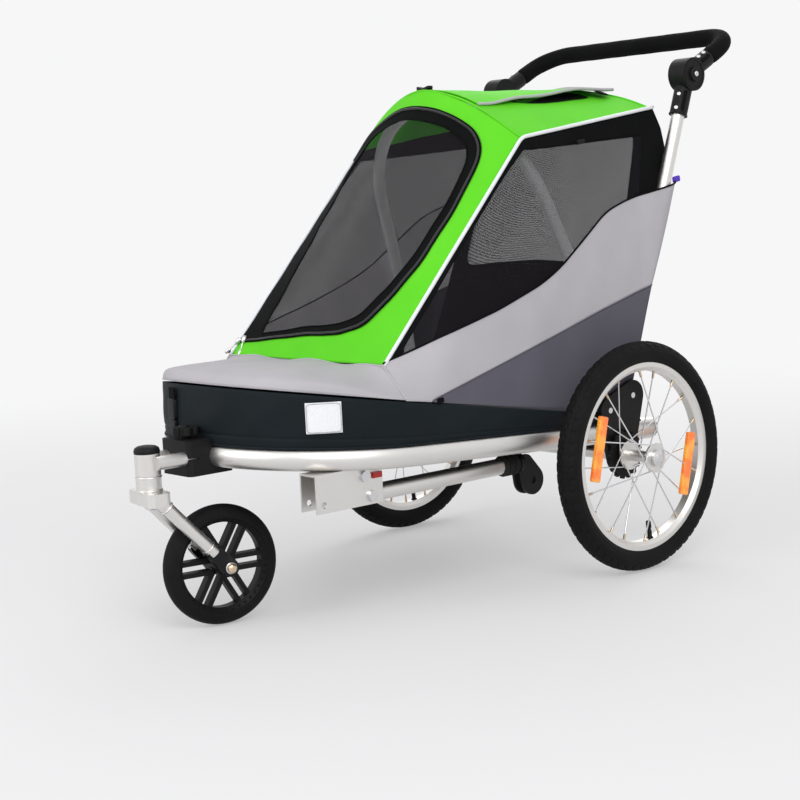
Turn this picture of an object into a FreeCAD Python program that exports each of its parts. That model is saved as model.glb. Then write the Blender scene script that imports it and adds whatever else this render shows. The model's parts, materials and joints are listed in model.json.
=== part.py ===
"""Dog bike trailer with a folding cabin frame, two spoked wheels and a swivelling front wheel.

Millimetres. +X forward, +Y left, +Z up. The origin is on the floor at mid length and mid width.
Stations along the trailer are measured forward from the rear axle and moved by axle_x.
"""
import FreeCAD, Part
import math
import os
import Sketcher
from types import SimpleNamespace

Vector = FreeCAD.Vector
Rotation = FreeCAD.Rotation
Placement = FreeCAD.Placement

# Driving dimensions: name, value
SIZES = [
    # Rear wheels
    ("wheel_radius", 200), ("wheel_track", 625), ("tyre_width", 43), ("tyre_wall", 3.5),
    ("tread_groove", 1.5), ("tyre_height", 34), ("rim_depth", 17), ("rim_width", 27),
    ("rim_wall", 2.5), ("spoke_radius", 1.2),
    ("spoke_count", 20), ("flange_radius", 26), ("flange_thickness", 3), ("flange_spacing", 57.5),
    ("spoke_circle", 22), ("hub_shift", 5), ("hub_cup_radius", 15), ("hub_barrel_radius", 10),
    ("hub_bore_radius", 7), ("hub_inner_end", 40.5), ("hub_outer_end", 36.5),
    ("bearing_radius", 12), ("bearing_width", 6), ("axle_radius", 6), ("axle_depth", 70),
    ("axle_head_radius", 14), ("axle_head_length", 9), ("running_clearance", 0.05),
    ("side_clearance", 0.3), ("brake_ring_radius", 43), ("brake_ring_width", 6),
    ("brake_notch_radius", 5), ("brake_notch_count", 16), ("reflector_length", 112),
    ("reflector_height", 20), ("reflector_depth", 9), ("reflector_inset", 31),
    # Base frame, floor and skirt
    ("frame_tube_radius", 19), ("frame_tube_wall", 2), ("frame_to_wheel", 62.5),
    ("frame_nose", 690), ("frame_rear", 100), ("nose_flat_half", 20),
    ("frame_over_axle", 38), ("frame_pitch_deg", 3.2), ("rear_tube_radius", 15),
    ("rear_tube_station", 78), ("axle_beam_radius", 12.5), ("bracket_reach", 21),
    ("bracket_thickness", 8), ("bracket_axle_lobe", 34), ("bracket_post_lobe", 27),
    ("bracket_bow_lobe", 24), ("floor_thickness", 3), ("skirt_offset", 12),
    ("skirt_thickness", 2.5), ("skirt_nose_height", 109), ("skirt_rear_height", 25),
    ("skirt_rear_station", 60),
    # Folding posts, bow and handle
    ("post_radius", 12), ("post_wall", 1.8), ("post_inset", 9), ("post_pivot_x", -34),
    ("post_pivot_rise", 100), ("pivot_pin_radius", 5), ("foot_radius", 16), ("foot_length", 62),
    ("handle_pivot_x", -241), ("handle_pivot_rise", 660), ("handle_disc_radius", 30),
    ("handle_disc_thickness", 18), ("socket_radius", 16), ("socket_length", 78),
    ("handle_tube_radius", 11), ("handle_tube_wall", 1.8), ("handle_reach", 163),
    ("handle_rise_deg", 27.5), ("handle_corner_radius", 62), ("handle_sleeve_length", 66),
    ("grip_radius", 16), ("grip_start", 40), ("button_radius", 13), ("button_height", 9),
    ("button_travel", 5), ("button_clearance", 0.3), ("bow_radius", 11), ("bow_wall", 1.6),
    ("bow_pivot_x", 26), ("bow_pivot_rise", 80), ("bow_elbow_x", 54), ("bow_elbow_rise", 300),
    ("bow_elbow_inset", 13), ("bow_crown_x", 174), ("bow_crown_rise", 620),
    ("bow_crown_inset", 64), ("bow_elbow_radius", 90), ("bow_foot_radius", 14),
    # Swivelling front wheel
    ("head_reach", 107), ("head_radius", 20), ("head_over_nose", 16.4), ("split_under_nose", 20.6),
    ("head_under_nose", 65.6), ("cap_height", 8), ("stem_radius", 5), ("nut_radius", 9),
    ("nut_height", 8), ("crown_height", 21), ("crown_length", 38), ("fork_half_width", 34),
    ("fork_leg_radius", 10.5), ("fork_tip_radius", 14), ("fork_tip_thickness", 14), ("fork_tip_reach", 36),
    ("caster_trail", 112), ("caster_radius", 97.4), ("caster_width", 41), ("caster_swivel_deg", -9.6),
    ("caster_rim_radius", 78), ("caster_opening_radius", 69), ("caster_hub_radius", 18),
    ("caster_hub_half_width", 25), ("caster_bearing_radius", 11), ("caster_bearing_width", 7),
    ("caster_axle_radius", 4), ("caster_bolt_head_radius", 8), ("caster_bolt_head_height", 5),
    ("caster_spoke_width", 8), ("caster_spoke_depth", 16), ("caster_spoke_spread", 19),
    ("caster_spoke_pairs", 6), ("yoke_tube_radius", 11), ("yoke_half_width", 24),
    ("clamp_length", 84), ("clamp_width", 80), ("clamp_wall", 9), ("knob_reach", 35),
    ("knob_radius", 22), ("knob_height", 18), ("knob_lobe_radius", 7), ("knob_lobes", 5),
    ("stud_radius", 4), ("knob_neck", 6),
    # Tow arm
    ("tow_inset", 19.76), ("tow_pivot_set", 22), ("tow_drop", 33),
    ("channel_set", 50), ("channel_length", 132), ("channel_width", 40), ("channel_wall", 3),
    ("channel_drop", 46), ("tow_tube_radius", 14), ("tow_tube_wall", 2), ("tow_tube_length", 298),
    ("tow_bolt_radius", 5), ("tow_bolt_head_radius", 9), ("tow_bolt_head_height", 5),
    ("bumper_radius", 17), ("bumper_length", 38), ("coupler_length", 30), ("coupler_drop", 32),
    ("coupler_root", 15), ("coupler_eye_radius", 25), ("coupler_thickness", 5), ("coupler_gap", 14),
    ("hitch_bore_radius", 6),
    # Cabin fabric
    ("fabric_thickness", 2.5), ("seam_gap", 0.3), ("hem_gap", 0.9),
    ("nose_seam_set", 208), ("nose_seam_rise", 166), ("nose_seam_inset", 42),
    ("roof_front_station", 158), ("roof_front_rise", 516), ("roof_inset", 40),
    ("roof_rear_station", -180), ("roof_rear_rise", 565), ("roof_crown_station", 190), ("flap_lift", 14),
    ("roof_crown_rise", 609), ("post_to_fabric", 19), ("piping_radius", 3.5),
    ("piping_bend", 40),                 # One overrun serves all cuts
    ("overrun", 2),
]


class Size(float):
    """A length that carries the sheet expression it comes from."""

    def __new__(cls, value, text):
        made = float.__new__(cls, value)
        made.text = text
        return made

    def __add__(self, other):
        return Size(float(self) + float(other), f"({self.text} + {wording(other)})")

    def __radd__(self, other):
        return Size(float(other) + float(self), f"({wording(other)} + {self.text})")

    def __sub__(self, other):
        return Size(float(self) - float(other), f"({self.text} - {wording(other)})")

    def __rsub__(self, other):
        return Size(float(other) - float(self), f"({wording(other)} - {self.text})")

    def __mul__(self, other):
        return Size(float(self) * float(other), f"({self.text} * {wording(other)})")

    def __rmul__(self, other):
        return Size(float(other) * float(self), f"({wording(other)} * {self.text})")

    def __truediv__(self, other):
        return Size(float(self) / float(other), f"({self.text} / {wording(other)})")

    def __neg__(self):
        return Size(-float(self), f"(0 - {self.text})")


def wording(value):
    """The text of a size, or of a plain number, in a sheet expression."""
    return value.text if isinstance(value, Size) else f"{float(value):.9f}"


document = FreeCAD.newDocument("dog_bike_trailer")
sheet = document.addObject("Spreadsheet::Sheet", "sizes")
for row, (name, value) in enumerate(SIZES, start=1):
    sheet.set(f"A{row}", name)
    sheet.set(f"B{row}", str(value))
    sheet.setAlias(f"B{row}", name)
document.recompute()
d = SimpleNamespace(**{name: Size(sheet.get(name), f"sizes.{name}") for name, _ in SIZES})

# Sizes that follow from others: widths from the wheel track, heights from the axle, stations from the nose
d.rim_radius = d.wheel_radius - d.tyre_height
d.rim_bed_radius = d.rim_radius - d.rim_depth
d.reflector_circle = d.rim_bed_radius - d.reflector_inset
d.frame_half_width = d.wheel_track / 2 - d.frame_to_wheel
d.frame_corner_radius = d.frame_half_width - d.nose_flat_half
d.bracket_outer = d.frame_half_width + d.bracket_reach
d.post_half_width = d.frame_half_width - d.post_inset
d.bow_elbow_half_width = d.frame_half_width - d.bow_elbow_inset
d.bow_crown_half_width = d.frame_half_width - d.bow_crown_inset
d.roof_half_width = d.frame_half_width - d.roof_inset
d.nose_seam_half_width = d.frame_half_width - d.nose_seam_inset
d.frame_height = d.wheel_radius + d.frame_over_axle
d.post_pivot_z = d.wheel_radius + d.post_pivot_rise
d.bow_pivot_z = d.wheel_radius + d.bow_pivot_rise
d.handle_pivot_z = d.wheel_radius + d.handle_pivot_rise
d.bow_elbow_z = d.wheel_radius + d.bow_elbow_rise
d.bow_crown_z = d.wheel_radius + d.bow_crown_rise
d.tow_pivot_z = d.frame_height - d.tow_drop
d.channel_bottom = d.frame_height - d.channel_drop
d.nose_seam_z = d.frame_height + d.nose_seam_rise
d.roof_front_z = d.frame_height + d.roof_front_rise
d.roof_rear_z = d.frame_height + d.roof_rear_rise
d.roof_crown_z = d.frame_height + d.roof_crown_rise
d.head_station = d.frame_nose + d.head_reach
d.knob_station = d.frame_nose + d.knob_reach
d.channel_front = d.frame_nose - d.channel_set
d.channel_rear = d.channel_front - d.channel_length
d.tow_pivot_station = d.channel_rear + d.tow_pivot_set
d.tow_tube_end = d.tow_pivot_station - d.tow_tube_length
d.nose_seam_station = d.frame_nose - d.nose_seam_set

nodes = []
Y_AXIS = Vector(0, 1, 0)
Z_AXIS = Vector(0, 0, 1)
SIDES = (("left", 1), ("right", -1))
JOIN_TOLERANCE = 1e-6

# The part is centred on its length: from the back of the grip to the front of the head tube
grip_back = d.handle_pivot_x - d.handle_reach * math.cos(math.radians(d.handle_rise_deg)) - d.grip_radius
axle_x = (grip_back + d.head_station + d.head_radius) / -2


# Helpers for objects of the document
def bind(item, **sizes):
    """Set properties of an object to sizes of the sheet."""
    for prop, value in sizes.items():
        setattr(item, prop, float(value))
        item.setExpression(prop, wording(value))
    return item


def place(item, x, y, z, rotation=Rotation()):
    """Put an object at a place given in sizes of the sheet."""
    item.Placement = Placement(Vector(x, y, z), rotation)
    for axis, value in zip("xyz", (x, y, z)):
        item.setExpression(f"Placement.Base.{axis}", wording(value))
    return item


def node(item, label):
    """Name a finished sub-part; its label names its file."""
    item.Label = label
    nodes.append(item)
    return item


def shaped(label, shape, placement=Placement()):
    """A finished sub-part whose shape is worked out here."""
    item = document.addObject("Part::Feature", label)
    item.Shape = shape
    item.Placement = placement
    return node(item, label)


def along_y(side=1):
    """Rotation that turns +Z into +Y, or into -Y on the right side."""
    return Rotation(Vector(1, 0, 0), -90 * side)


def plane_of(body, role):
    """One of a body's own origin planes."""
    return next(item for item in body.Origin.OriginFeatures if item.Role == role)


def outline_sketch(body, name, role, points, circles=()):
    """A closed outline with every corner tied to the sheet; circles are (x, y, radius) holes."""
    sketch = body.newObject("Sketcher::SketchObject", name)
    sketch.AttachmentSupport = [(plane_of(body, role), "")]
    sketch.MapMode = "FlatFace"
    ends = points[1:] + points[:1]
    for start, end in zip(points, ends):
        sketch.addGeometry(Part.LineSegment(Vector(start[0], start[1], 0), Vector(end[0], end[1], 0)))
    count = len(points)
    for index in range(count):
        sketch.addConstraint(Sketcher.Constraint("Coincident", index, 2, (index + 1) % count, 1))
    for index, point in enumerate(points):
        tie_point(sketch, index, 1, point)
    for x, y, radius in circles:
        index = sketch.addGeometry(Part.Circle(Vector(x, y, 0), Z_AXIS, radius))
        tie_point(sketch, index, 3, (x, y))
        tie = sketch.addConstraint(Sketcher.Constraint("Radius", index, float(radius)))
        sketch.setExpression(f"Constraints[{tie}]", wording(radius))
    return sketch


def tie_point(sketch, index, end, point):
    """Hold a sketch point at two sizes of the sheet."""
    for kind, value in zip(("DistanceX", "DistanceY"), point):
        tie = sketch.addConstraint(Sketcher.Constraint(kind, -1, 1, index, end, float(value)))
        sketch.setExpression(f"Constraints[{tie}]", wording(value))


def turned(name, points):
    """A body turned about its Z axis from an outline of (radius, height) corners."""
    body = document.addObject("PartDesign::Body", name)
    sketch = outline_sketch(body, name + "_outline", "XZ_Plane", points)
    turn = body.newObject("PartDesign::Revolution", name + "_turn")
    turn.Profile = sketch
    turn.ReferenceAxis = (sketch, ["V_Axis"])
    turn.Angle = 360
    return body


def cylinder(name, radius, length, x, y, z, rotation=Rotation()):
    """A round bar from its base point along its rotated Z axis."""
    item = document.addObject("Part::Cylinder", name)
    bind(item, Radius=radius, Height=length)
    return place(item, x, y, z, rotation)


def cut(name, base, tool):
    """A solid less another."""
    item = document.addObject("Part::Cut", name)
    item.Base = base
    item.Tool = tool
    return item


# Helpers for shapes worked out from the sheet
def station(x, y, z):
    """A point given by its distance forward of the rear axle."""
    return Vector(axle_x + x, y, z)


def deck_height(x):
    """Height of the base frame's tube axis at a station; the frame rises to the nose."""
    return d.frame_height + x * math.tan(math.radians(d.frame_pitch_deg))


def rounded_path(points, radii):
    """A wire through points, each inner corner rounded by a tangent arc of its radius."""
    edges = []
    start = points[0]
    for before, corner, after, radius in zip(points, points[1:], points[2:], radii):
        back = (before - corner).normalize()
        ahead = (after - corner).normalize()
        half = back.getAngle(ahead) / 2
        reach = float(radius) / math.tan(half)
        middle = (back + ahead).normalize() * (float(radius) / math.sin(half) - float(radius))
        first = corner + back * reach
        last = corner + ahead * reach
        if not first.isEqual(start, JOIN_TOLERANCE):
            edges.append(Part.LineSegment(start, first).toShape())
        edges.append(Part.Arc(first, corner + middle, last).toShape())
        start = last
    edges.append(Part.LineSegment(start, points[-1]).toShape())
    return Part.Wire(edges)


def bent_rod(path, radius):
    """A round solid along a wire that starts straight."""
    first = path.Edges[0]
    ring = Part.makeCircle(radius, first.firstVertex().Point, first.tangentAt(first.FirstParameter))
    return path.makePipe(Part.Face(Part.Wire(ring)))


def bent_tube(path, radius, wall):
    """A round tube along a wire that starts straight."""
    return bent_rod(path, radius).cut(bent_rod(path, radius - wall))


def bar(start, end, radius):
    """A solid round bar between two points."""
    return Part.makeCylinder(radius, (end - start).Length, start, end - start)


def belt(circles, base, normal_side, thickness):
    """A plate whose outline runs round circles (x, z, radius), listed anticlockwise, in the XZ plane."""
    edges = []
    ends = []
    for (x0, z0, r0), (x1, z1, r1) in zip(circles, circles[1:] + circles[:1]):
        heading = math.atan2(z1 - z0, x1 - x0)
        lean = math.asin((r0 - r1) / math.hypot(x1 - x0, z1 - z0))
        normal = heading - math.pi / 2 + lean
        ends.append((Vector(x0 + r0 * math.cos(normal), base, z0 + r0 * math.sin(normal)),
                     Vector(x1 + r1 * math.cos(normal), base, z1 + r1 * math.sin(normal)), normal))
    for index, (x0, z0, r0) in enumerate(circles):
        before = ends[index - 1]
        after = ends[index]
        turn = (after[2] - before[2]) % (2 * math.pi)
        half = before[2] + turn / 2
        middle = Vector(x0 + r0 * math.cos(half), base, z0 + r0 * math.sin(half))
        edges.append(Part.Arc(before[1], middle, after[0]).toShape())
        edges.append(Part.LineSegment(after[0], after[1]).toShape())
    return Part.Face(Part.Wire(edges)).extrude(Vector(0, thickness * normal_side, 0))


def sheet_solid(rows, thickness):
    """A thin closed cloth solid through rows of points, thickened to the inner side of its surface."""
    inner_rows = []
    for index, row in enumerate(rows):
        below = rows[max(index - 1, 0)]
        above = rows[min(index + 1, len(rows) - 1)]
        inner = []
        for spot, point in enumerate(row):
            across = row[min(spot + 1, len(row) - 1)] - row[max(spot - 1, 0)]
            up = above[spot] - below[spot]
            inner.append(point - across.cross(up).normalize() * float(thickness))
        inner_rows.append(inner)
    faces = []

    def patch(first, second, third, fourth):
        """Two flat facets over four corners."""
        for corners in ((first, second, third), (first, third, fourth)):
            faces.append(Part.Face(Part.makePolygon(list(corners) + [first])))

    last_row = len(rows) - 1
    last_spot = len(rows[0]) - 1
    for index in range(last_row):
        for spot in range(last_spot):
            for face_rows in (rows, inner_rows):
                patch(face_rows[index][spot], face_rows[index][spot + 1],
                      face_rows[index + 1][spot + 1], face_rows[index + 1][spot])
        for spot in (0, last_spot):
            patch(rows[index][spot], rows[index + 1][spot], inner_rows[index + 1][spot],
                  inner_rows[index][spot])
    for spot in range(last_spot):
        for index in (0, last_row):
            patch(rows[index][spot], rows[index][spot + 1], inner_rows[index][spot + 1],
                  inner_rows[index][spot])
    shell = Part.Shell(faces)
    shell.sewShape()
    solid = Part.Solid(shell)
    if solid.Volume < 0:
        solid.reverse()
    return solid


def mirrored(shape):
    """The same shape on the other side of the trailer."""
    return shape.mirror(Vector(0, 0, 0), Y_AXIS)


def pair(shape):
    """A left piece with its right twin, as two separate solids."""
    return Part.makeCompound([shape, mirrored(shape)])


# Rear wheels: each is built about its own Z axis, which points outward from the trailer
flange_inner = d.hub_shift - d.flange_spacing / 2
flange_outer = d.hub_shift + d.flange_spacing / 2
RIM_BED_SHARE = 0.55
RIM_SHOULDER_SHARE = 0.4
TYRE_SHOULDER_SHARES = (0.86, 0.6)
SPOKE_CROSSES = 2
RIM_SPOKE_SHARE = 0.25
GROOVE_SHARE = 0.22
REFLECTOR_TURNS_DEG = (-14, 166)


def hub_body(name):
    """The hub shell: two flanges on a barrel, with a bearing seat in each end."""
    low = -d.hub_inner_end
    high = d.hub_outer_end
    half = d.flange_thickness / 2
    cup = high - d.bearing_width - d.flange_thickness
    outside = [(d.bearing_radius, low), (d.hub_cup_radius, low), (d.hub_cup_radius, flange_inner - half),
               (d.flange_radius, flange_inner - half), (d.flange_radius, flange_inner + half),
               (d.hub_barrel_radius, flange_inner + half), (d.hub_barrel_radius, cup),
               (d.hub_cup_radius, cup), (d.hub_cup_radius, flange_outer - half),
               (d.flange_radius, flange_outer - half), (d.flange_radius, flange_outer + half),
               (d.hub_cup_radius, flange_outer + half), (d.hub_cup_radius, high)]
    inside = [(d.bearing_radius, high), (d.bearing_radius, high - d.bearing_width),
              (d.hub_bore_radius, high - d.bearing_width), (d.hub_bore_radius, low + d.bearing_width),
              (d.bearing_radius, low + d.bearing_width)]
    return turned(name, outside + inside)


def rim_body(name):
    """The rim: a rolled channel with a sunk spoke bed."""
    half = d.rim_width / 2
    bed = half * RIM_BED_SHARE
    shoulder = d.rim_bed_radius + (d.rim_radius - d.rim_bed_radius) * RIM_SHOULDER_SHARE
    lower = [(d.rim_bed_radius, -bed), (shoulder, -half), (d.rim_radius, -half),
             (d.rim_radius, d.rim_wall - half), (shoulder + d.rim_wall, d.rim_wall - half),
             (d.rim_bed_radius + d.rim_wall, d.rim_wall / 2 - bed)]
    upper = [(radius, -height) for radius, height in reversed(lower)]
    return turned(name, lower + upper)


def tyre_shape():
    """A hollow tyre: beads in the rim, round sidewalls, a flatter crown and two tread grooves."""
    bead = d.rim_width / 2 - d.rim_wall
    foot = d.rim_bed_radius + (d.rim_radius - d.rim_bed_radius) * RIM_SHOULDER_SHARE + d.rim_wall
    half = d.tyre_width / 2
    belly = d.wheel_radius - half
    outer_share, side_share = TYRE_SHOULDER_SHARES

    def flank(inset):
        """Bead, belly, shoulder and crown of one flank, set in from the outside."""
        shoulder = belly + half * outer_share * math.cos(math.radians(45)) - inset
        return [Vector(foot, 0, bead - inset), Vector(d.rim_radius, 0, bead - inset),
                Vector(belly, 0, half - inset), Vector(shoulder, 0, half * side_share - inset / 2),
                Vector(d.wheel_radius - inset, 0, 0)]

    def flip(point):
        return Vector(point.x, 0, -point.z)

    def crossing(points):
        """Edges from one bead to the other over the crown."""
        foot_point, edge, side, shoulder, crown = points
        return [Part.LineSegment(foot_point, edge), Part.Arc(edge, side, shoulder),
                Part.Arc(shoulder, crown, flip(shoulder)), Part.Arc(flip(shoulder), flip(side), flip(edge)),
                Part.LineSegment(flip(edge), flip(foot_point))]

    outside = flank(0)
    inside = flank(d.tyre_wall)
    edges = crossing(outside) + crossing(inside)
    edges += [Part.LineSegment(outside[0], inside[0]), Part.LineSegment(flip(outside[0]), flip(inside[0]))]
    wire = Part.Wire(Part.__sortEdges__([edge.toShape() for edge in edges]))
    tyre = Part.Face(wire).revolve(Vector(), Z_AXIS, 360)
    for sign in (-1, 1):
        middle = Vector(0, 0, d.tyre_width * GROOVE_SHARE * sign - d.tread_groove / 2)
        ring = Part.makeCylinder(d.wheel_radius, d.tread_groove, middle)
        depth = d.wheel_radius - d.tread_groove * 2
        tyre = tyre.cut(ring.cut(Part.makeCylinder(depth, d.tread_groove, middle)))
    return tyre


def spokes_shape(hub, rim):
    """Crossed spokes, laid on both faces of each flange and trimmed where they meet hub and rim."""
    per_flange = int(d.spoke_count) // 2
    step = 2 * math.pi / per_flange
    rods = []
    for flange, height in enumerate((flange_inner, flange_outer)):
        for index in range(per_flange):
            sign = 1 if index % 2 else -1
            turn = index * step + flange * step / 2
            far = turn + sign * SPOKE_CROSSES * step
            face = height + (d.flange_thickness / 2 + d.spoke_radius) * sign
            seat = d.rim_bed_radius + d.rim_wall / 2
            start = Vector(d.spoke_circle * math.cos(turn), d.spoke_circle * math.sin(turn), face)
            end = Vector(seat * math.cos(far), seat * math.sin(far),
                         d.rim_width * RIM_SPOKE_SHARE * (flange * 2 - 1) / 2)
            rods.append(bar(start, end, d.spoke_radius))
    return Part.makeCompound([rod.cut([hub, rim]) for rod in rods])


def reflectors_shape(spokes):
    """Two bar reflectors clipped over the outer spokes."""
    bars = []
    for turn in REFLECTOR_TURNS_DEG:
        corner = Vector(d.reflector_circle - d.reflector_height / 2, -d.reflector_length / 2,
                        d.reflector_depth / 2)
        block = Part.makeBox(d.reflector_height, d.reflector_length, d.reflector_depth, corner)
        block = block.makeFillet(d.reflector_depth / 3, block.Edges)
        block.rotate(Vector(), Z_AXIS, turn)
        bars.append(block.cut(spokes))
    return Part.makeCompound(bars)


def brake_ring_body(name):
    """The parking-brake ring: a disc with scallops round its edge for the brake pin."""
    body = document.addObject("PartDesign::Body", name)
    disc = body.newObject("Sketcher::SketchObject", name + "_outline")
    disc.AttachmentSupport = [(plane_of(body, "XY_Plane"), "")]
    disc.MapMode = "FlatFace"
    for radius in (d.brake_ring_radius, d.hub_cup_radius):
        index = disc.addGeometry(Part.Circle(Vector(), Z_AXIS, radius))
        disc.addConstraint(Sketcher.Constraint("Coincident", index, 3, -1, 1))
        tie = disc.addConstraint(Sketcher.Constraint("Radius", index, float(radius)))
        disc.setExpression(f"Constraints[{tie}]", wording(radius))
    pad = body.newObject("PartDesign::Pad", name + "_pad")
    pad.Profile = disc
    bind(pad, Length=d.brake_ring_width)
    notch = body.newObject("Sketcher::SketchObject", name + "_notch")
    notch.AttachmentSupport = [(plane_of(body, "XY_Plane"), "")]
    notch.MapMode = "FlatFace"
    index = notch.addGeometry(Part.Circle(Vector(d.brake_ring_radius, 0, 0), Z_AXIS, d.brake_notch_radius))
    tie_point(notch, index, 3, (d.brake_ring_radius, 0))
    tie = notch.addConstraint(Sketcher.Constraint("Radius", index, float(d.brake_notch_radius)))
    notch.setExpression(f"Constraints[{tie}]", wording(d.brake_notch_radius))
    pocket = body.newObject("PartDesign::Pocket", name + "_pocket")
    pocket.Profile = notch
    pocket.Type = "ThroughAll"
    pocket.Midplane = True
    pattern = body.newObject("PartDesign::PolarPattern", name + "_pattern")
    pattern.Originals = [pocket]
    pattern.Axis = (plane_of(body, "Z_Axis"), [""])
    pattern.Angle = 360
    pattern.Occurrences = int(d.brake_notch_count)
    body.Tip = pattern
    return body


def bearing_ring(name, radius, bore, width):
    """A plain ring that stands for one sealed bearing."""
    return turned(name, [(bore, 0), (radius, 0), (radius, width), (bore, width)])


for side_name, side in SIDES:
    centre = (axle_x, d.wheel_track / 2 * side, d.wheel_radius)
    outward = along_y(side)
    hub = hub_body(f"{side_name}_hub_body")
    rim = rim_body(f"{side_name}_rim_body")
    document.recompute()
    spokes = spokes_shape(hub.Shape, rim.Shape)
    reflectors = reflectors_shape(spokes)
    wheel_place = Placement(Vector(*centre), outward)
    node(place(hub, *centre, outward), f"{side_name}_hub")
    node(place(rim, *centre, outward), f"{side_name}_rim")
    shaped(f"{side_name}_tyre", tyre_shape(), wheel_place)
    shaped(f"{side_name}_spokes", spokes, wheel_place)
    shaped(f"{side_name}_reflectors", reflectors, wheel_place)
    ring = brake_ring_body(f"{side_name}_brake_ring_body")
    ring_y = (d.wheel_track / 2 - d.hub_inner_end + d.tread_groove) * side
    node(place(ring, axle_x, ring_y, d.wheel_radius, outward), f"{side_name}_brake_ring")
    rings = [bearing_ring(f"{side_name}_{where}_bearing", d.bearing_radius,
                          d.axle_radius + d.running_clearance, d.bearing_width)
             for where in ("inner", "outer")]
    inner_y = (d.wheel_track / 2 - d.hub_inner_end) * side
    outer_y = (d.wheel_track / 2 + d.hub_outer_end - d.bearing_width) * side
    for ring, ring_y in zip(rings, (inner_y, outer_y)):
        place(ring, axle_x, ring_y, d.wheel_radius, outward)
    bearings = document.addObject("Part::Compound", f"{side_name}_bearings")
    bearings.Links = rings
    node(bearings, f"{side_name}_bearings")


# Base frame: one bent tube in a D plan that rises to the nose, closed by a cross tube at the rear
def on_deck(x, y, z):
    """A point of the pitched deck: station, offset and height over the tube axis."""
    return station(x, y, deck_height(x) + z)


deck_tilt = Rotation(Y_AXIS, -d.frame_pitch_deg)
half = d.frame_half_width
frame_corners = [on_deck(-d.frame_rear, half, 0), on_deck(d.frame_nose, half, 0),
                 on_deck(d.frame_nose, -half, 0), on_deck(-d.frame_rear, -half, 0)]
frame_path = rounded_path(frame_corners, [d.frame_corner_radius, d.frame_corner_radius])
base_frame = bent_tube(frame_path, d.frame_tube_radius, d.frame_tube_wall)
frame_core = bent_rod(frame_path, d.frame_tube_radius)
shaped("base_frame", base_frame)

rear_middle = on_deck(-d.rear_tube_station, 0, 0)
rear_tube = Part.makeCylinder(d.rear_tube_radius, half * 2, rear_middle - Y_AXIS * half, Y_AXIS)
rear_bore = Part.makeCylinder(d.rear_tube_radius - d.frame_tube_wall, half * 2,
                              rear_middle - Y_AXIS * half, Y_AXIS)
shaped("rear_tube", rear_tube.cut(rear_bore).cut(frame_core))

# Axle beam and the quick-release axles that plug into its ends
beam = cylinder("beam_bar", d.axle_beam_radius, d.bracket_outer * 2,
                axle_x, -d.bracket_outer, d.wheel_radius, along_y())
beam_bore = cylinder("beam_bore", d.axle_radius, (d.bracket_outer + d.overrun) * 2,
                     axle_x, -d.bracket_outer - d.overrun, d.wheel_radius, along_y())
node(cut("beam_tube", beam, beam_bore), "axle_beam")
axle_items = []
for side_name, side in SIDES:
    root = d.bracket_outer - d.axle_depth
    tip = d.wheel_track / 2 + d.hub_outer_end + d.side_clearance
    axle = turned(f"{side_name}_axle", [(0, 0), (d.axle_radius, 0), (d.axle_radius, tip - root),
                                        (d.axle_head_radius, tip - root),
                                        (d.axle_head_radius, tip - root + d.axle_head_length / 2),
                                        (d.axle_head_radius / 2, tip - root + d.axle_head_length),
                                        (0, tip - root + d.axle_head_length)])
    axle_items.append(place(axle, axle_x, root * side, d.wheel_radius, along_y(side)))
axles = document.addObject("Part::Compound", "axle_pair")
axles.Links = axle_items
node(axles, "wheel_axles")

# Wheel brackets: plates that hang the axle beam under the frame and carry both fold pivots
bracket_inner = d.bracket_outer - d.bracket_thickness
bracket = belt([(axle_x, d.wheel_radius, d.bracket_axle_lobe),
                (axle_x + d.bow_pivot_x, d.bow_pivot_z, d.bracket_bow_lobe),
                (axle_x + d.post_pivot_x, d.post_pivot_z, d.bracket_post_lobe)],
               bracket_inner, 1, d.bracket_thickness)
for x, z, radius in ((0, d.wheel_radius, d.axle_beam_radius),
                     (d.bow_pivot_x, d.bow_pivot_z, d.pivot_pin_radius),
                     (d.post_pivot_x, d.post_pivot_z, d.pivot_pin_radius)):
    drill = Part.makeCylinder(radius, d.bracket_thickness + d.overrun * 2,
                              station(x, bracket_inner - d.overrun, z), Y_AXIS)
    bracket = bracket.cut(drill)
shaped("wheel_brackets", pair(bracket.cut(frame_core)))

# Fold pins: two a side, fixed in the brackets, with heads outside
pins = []
for x, z in ((d.post_pivot_x, d.post_pivot_z), (d.bow_pivot_x, d.bow_pivot_z)):
    inner = d.post_half_width - d.foot_radius
    pins.append(Part.makeCylinder(d.pivot_pin_radius, d.bracket_outer - inner, station(x, inner, z), Y_AXIS))
shaped("fold_pins", Part.makeCompound([twin for pin in pins for twin in (pin, mirrored(pin))]))

# Floor and skirt: the same D plan, set out from the tube axis
def deck_plan(offset, rear, height):
    """The D outline at a height over the tube axis, set out from that axis, as a closed wire."""
    nose = d.frame_nose + offset
    side = half + offset
    corners = [Vector(-rear, side, height), Vector(nose, side, height),
               Vector(nose, -side, height), Vector(-rear, -side, height)]
    curve = rounded_path(corners, [d.frame_corner_radius + offset] * 2)
    return Part.Wire(curve.Edges + [Part.LineSegment(corners[-1], corners[0]).toShape()])


wide = half + d.skirt_offset
deck_place = Placement(station(0, 0, deck_height(0)), deck_tilt)
floor_low = d.frame_tube_radius + d.seam_gap
floor_top = floor_low + d.floor_thickness
floor_face = Part.Face(deck_plan(d.skirt_offset, d.skirt_rear_station, floor_low))
floor = floor_face.extrude(Vector(0, 0, d.floor_thickness))
shaped("floor_panel", floor, deck_place)

skirt_low = floor_top + d.seam_gap
skirt_outer = Part.Face(deck_plan(d.skirt_offset, d.skirt_rear_station, skirt_low))
skirt_inner = Part.Face(deck_plan(d.skirt_offset - d.skirt_thickness, d.skirt_rear_station + d.overrun,
                                  skirt_low))
skirt = skirt_outer.cut(skirt_inner).extrude(Vector(0, 0, d.skirt_nose_height - skirt_low))


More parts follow.
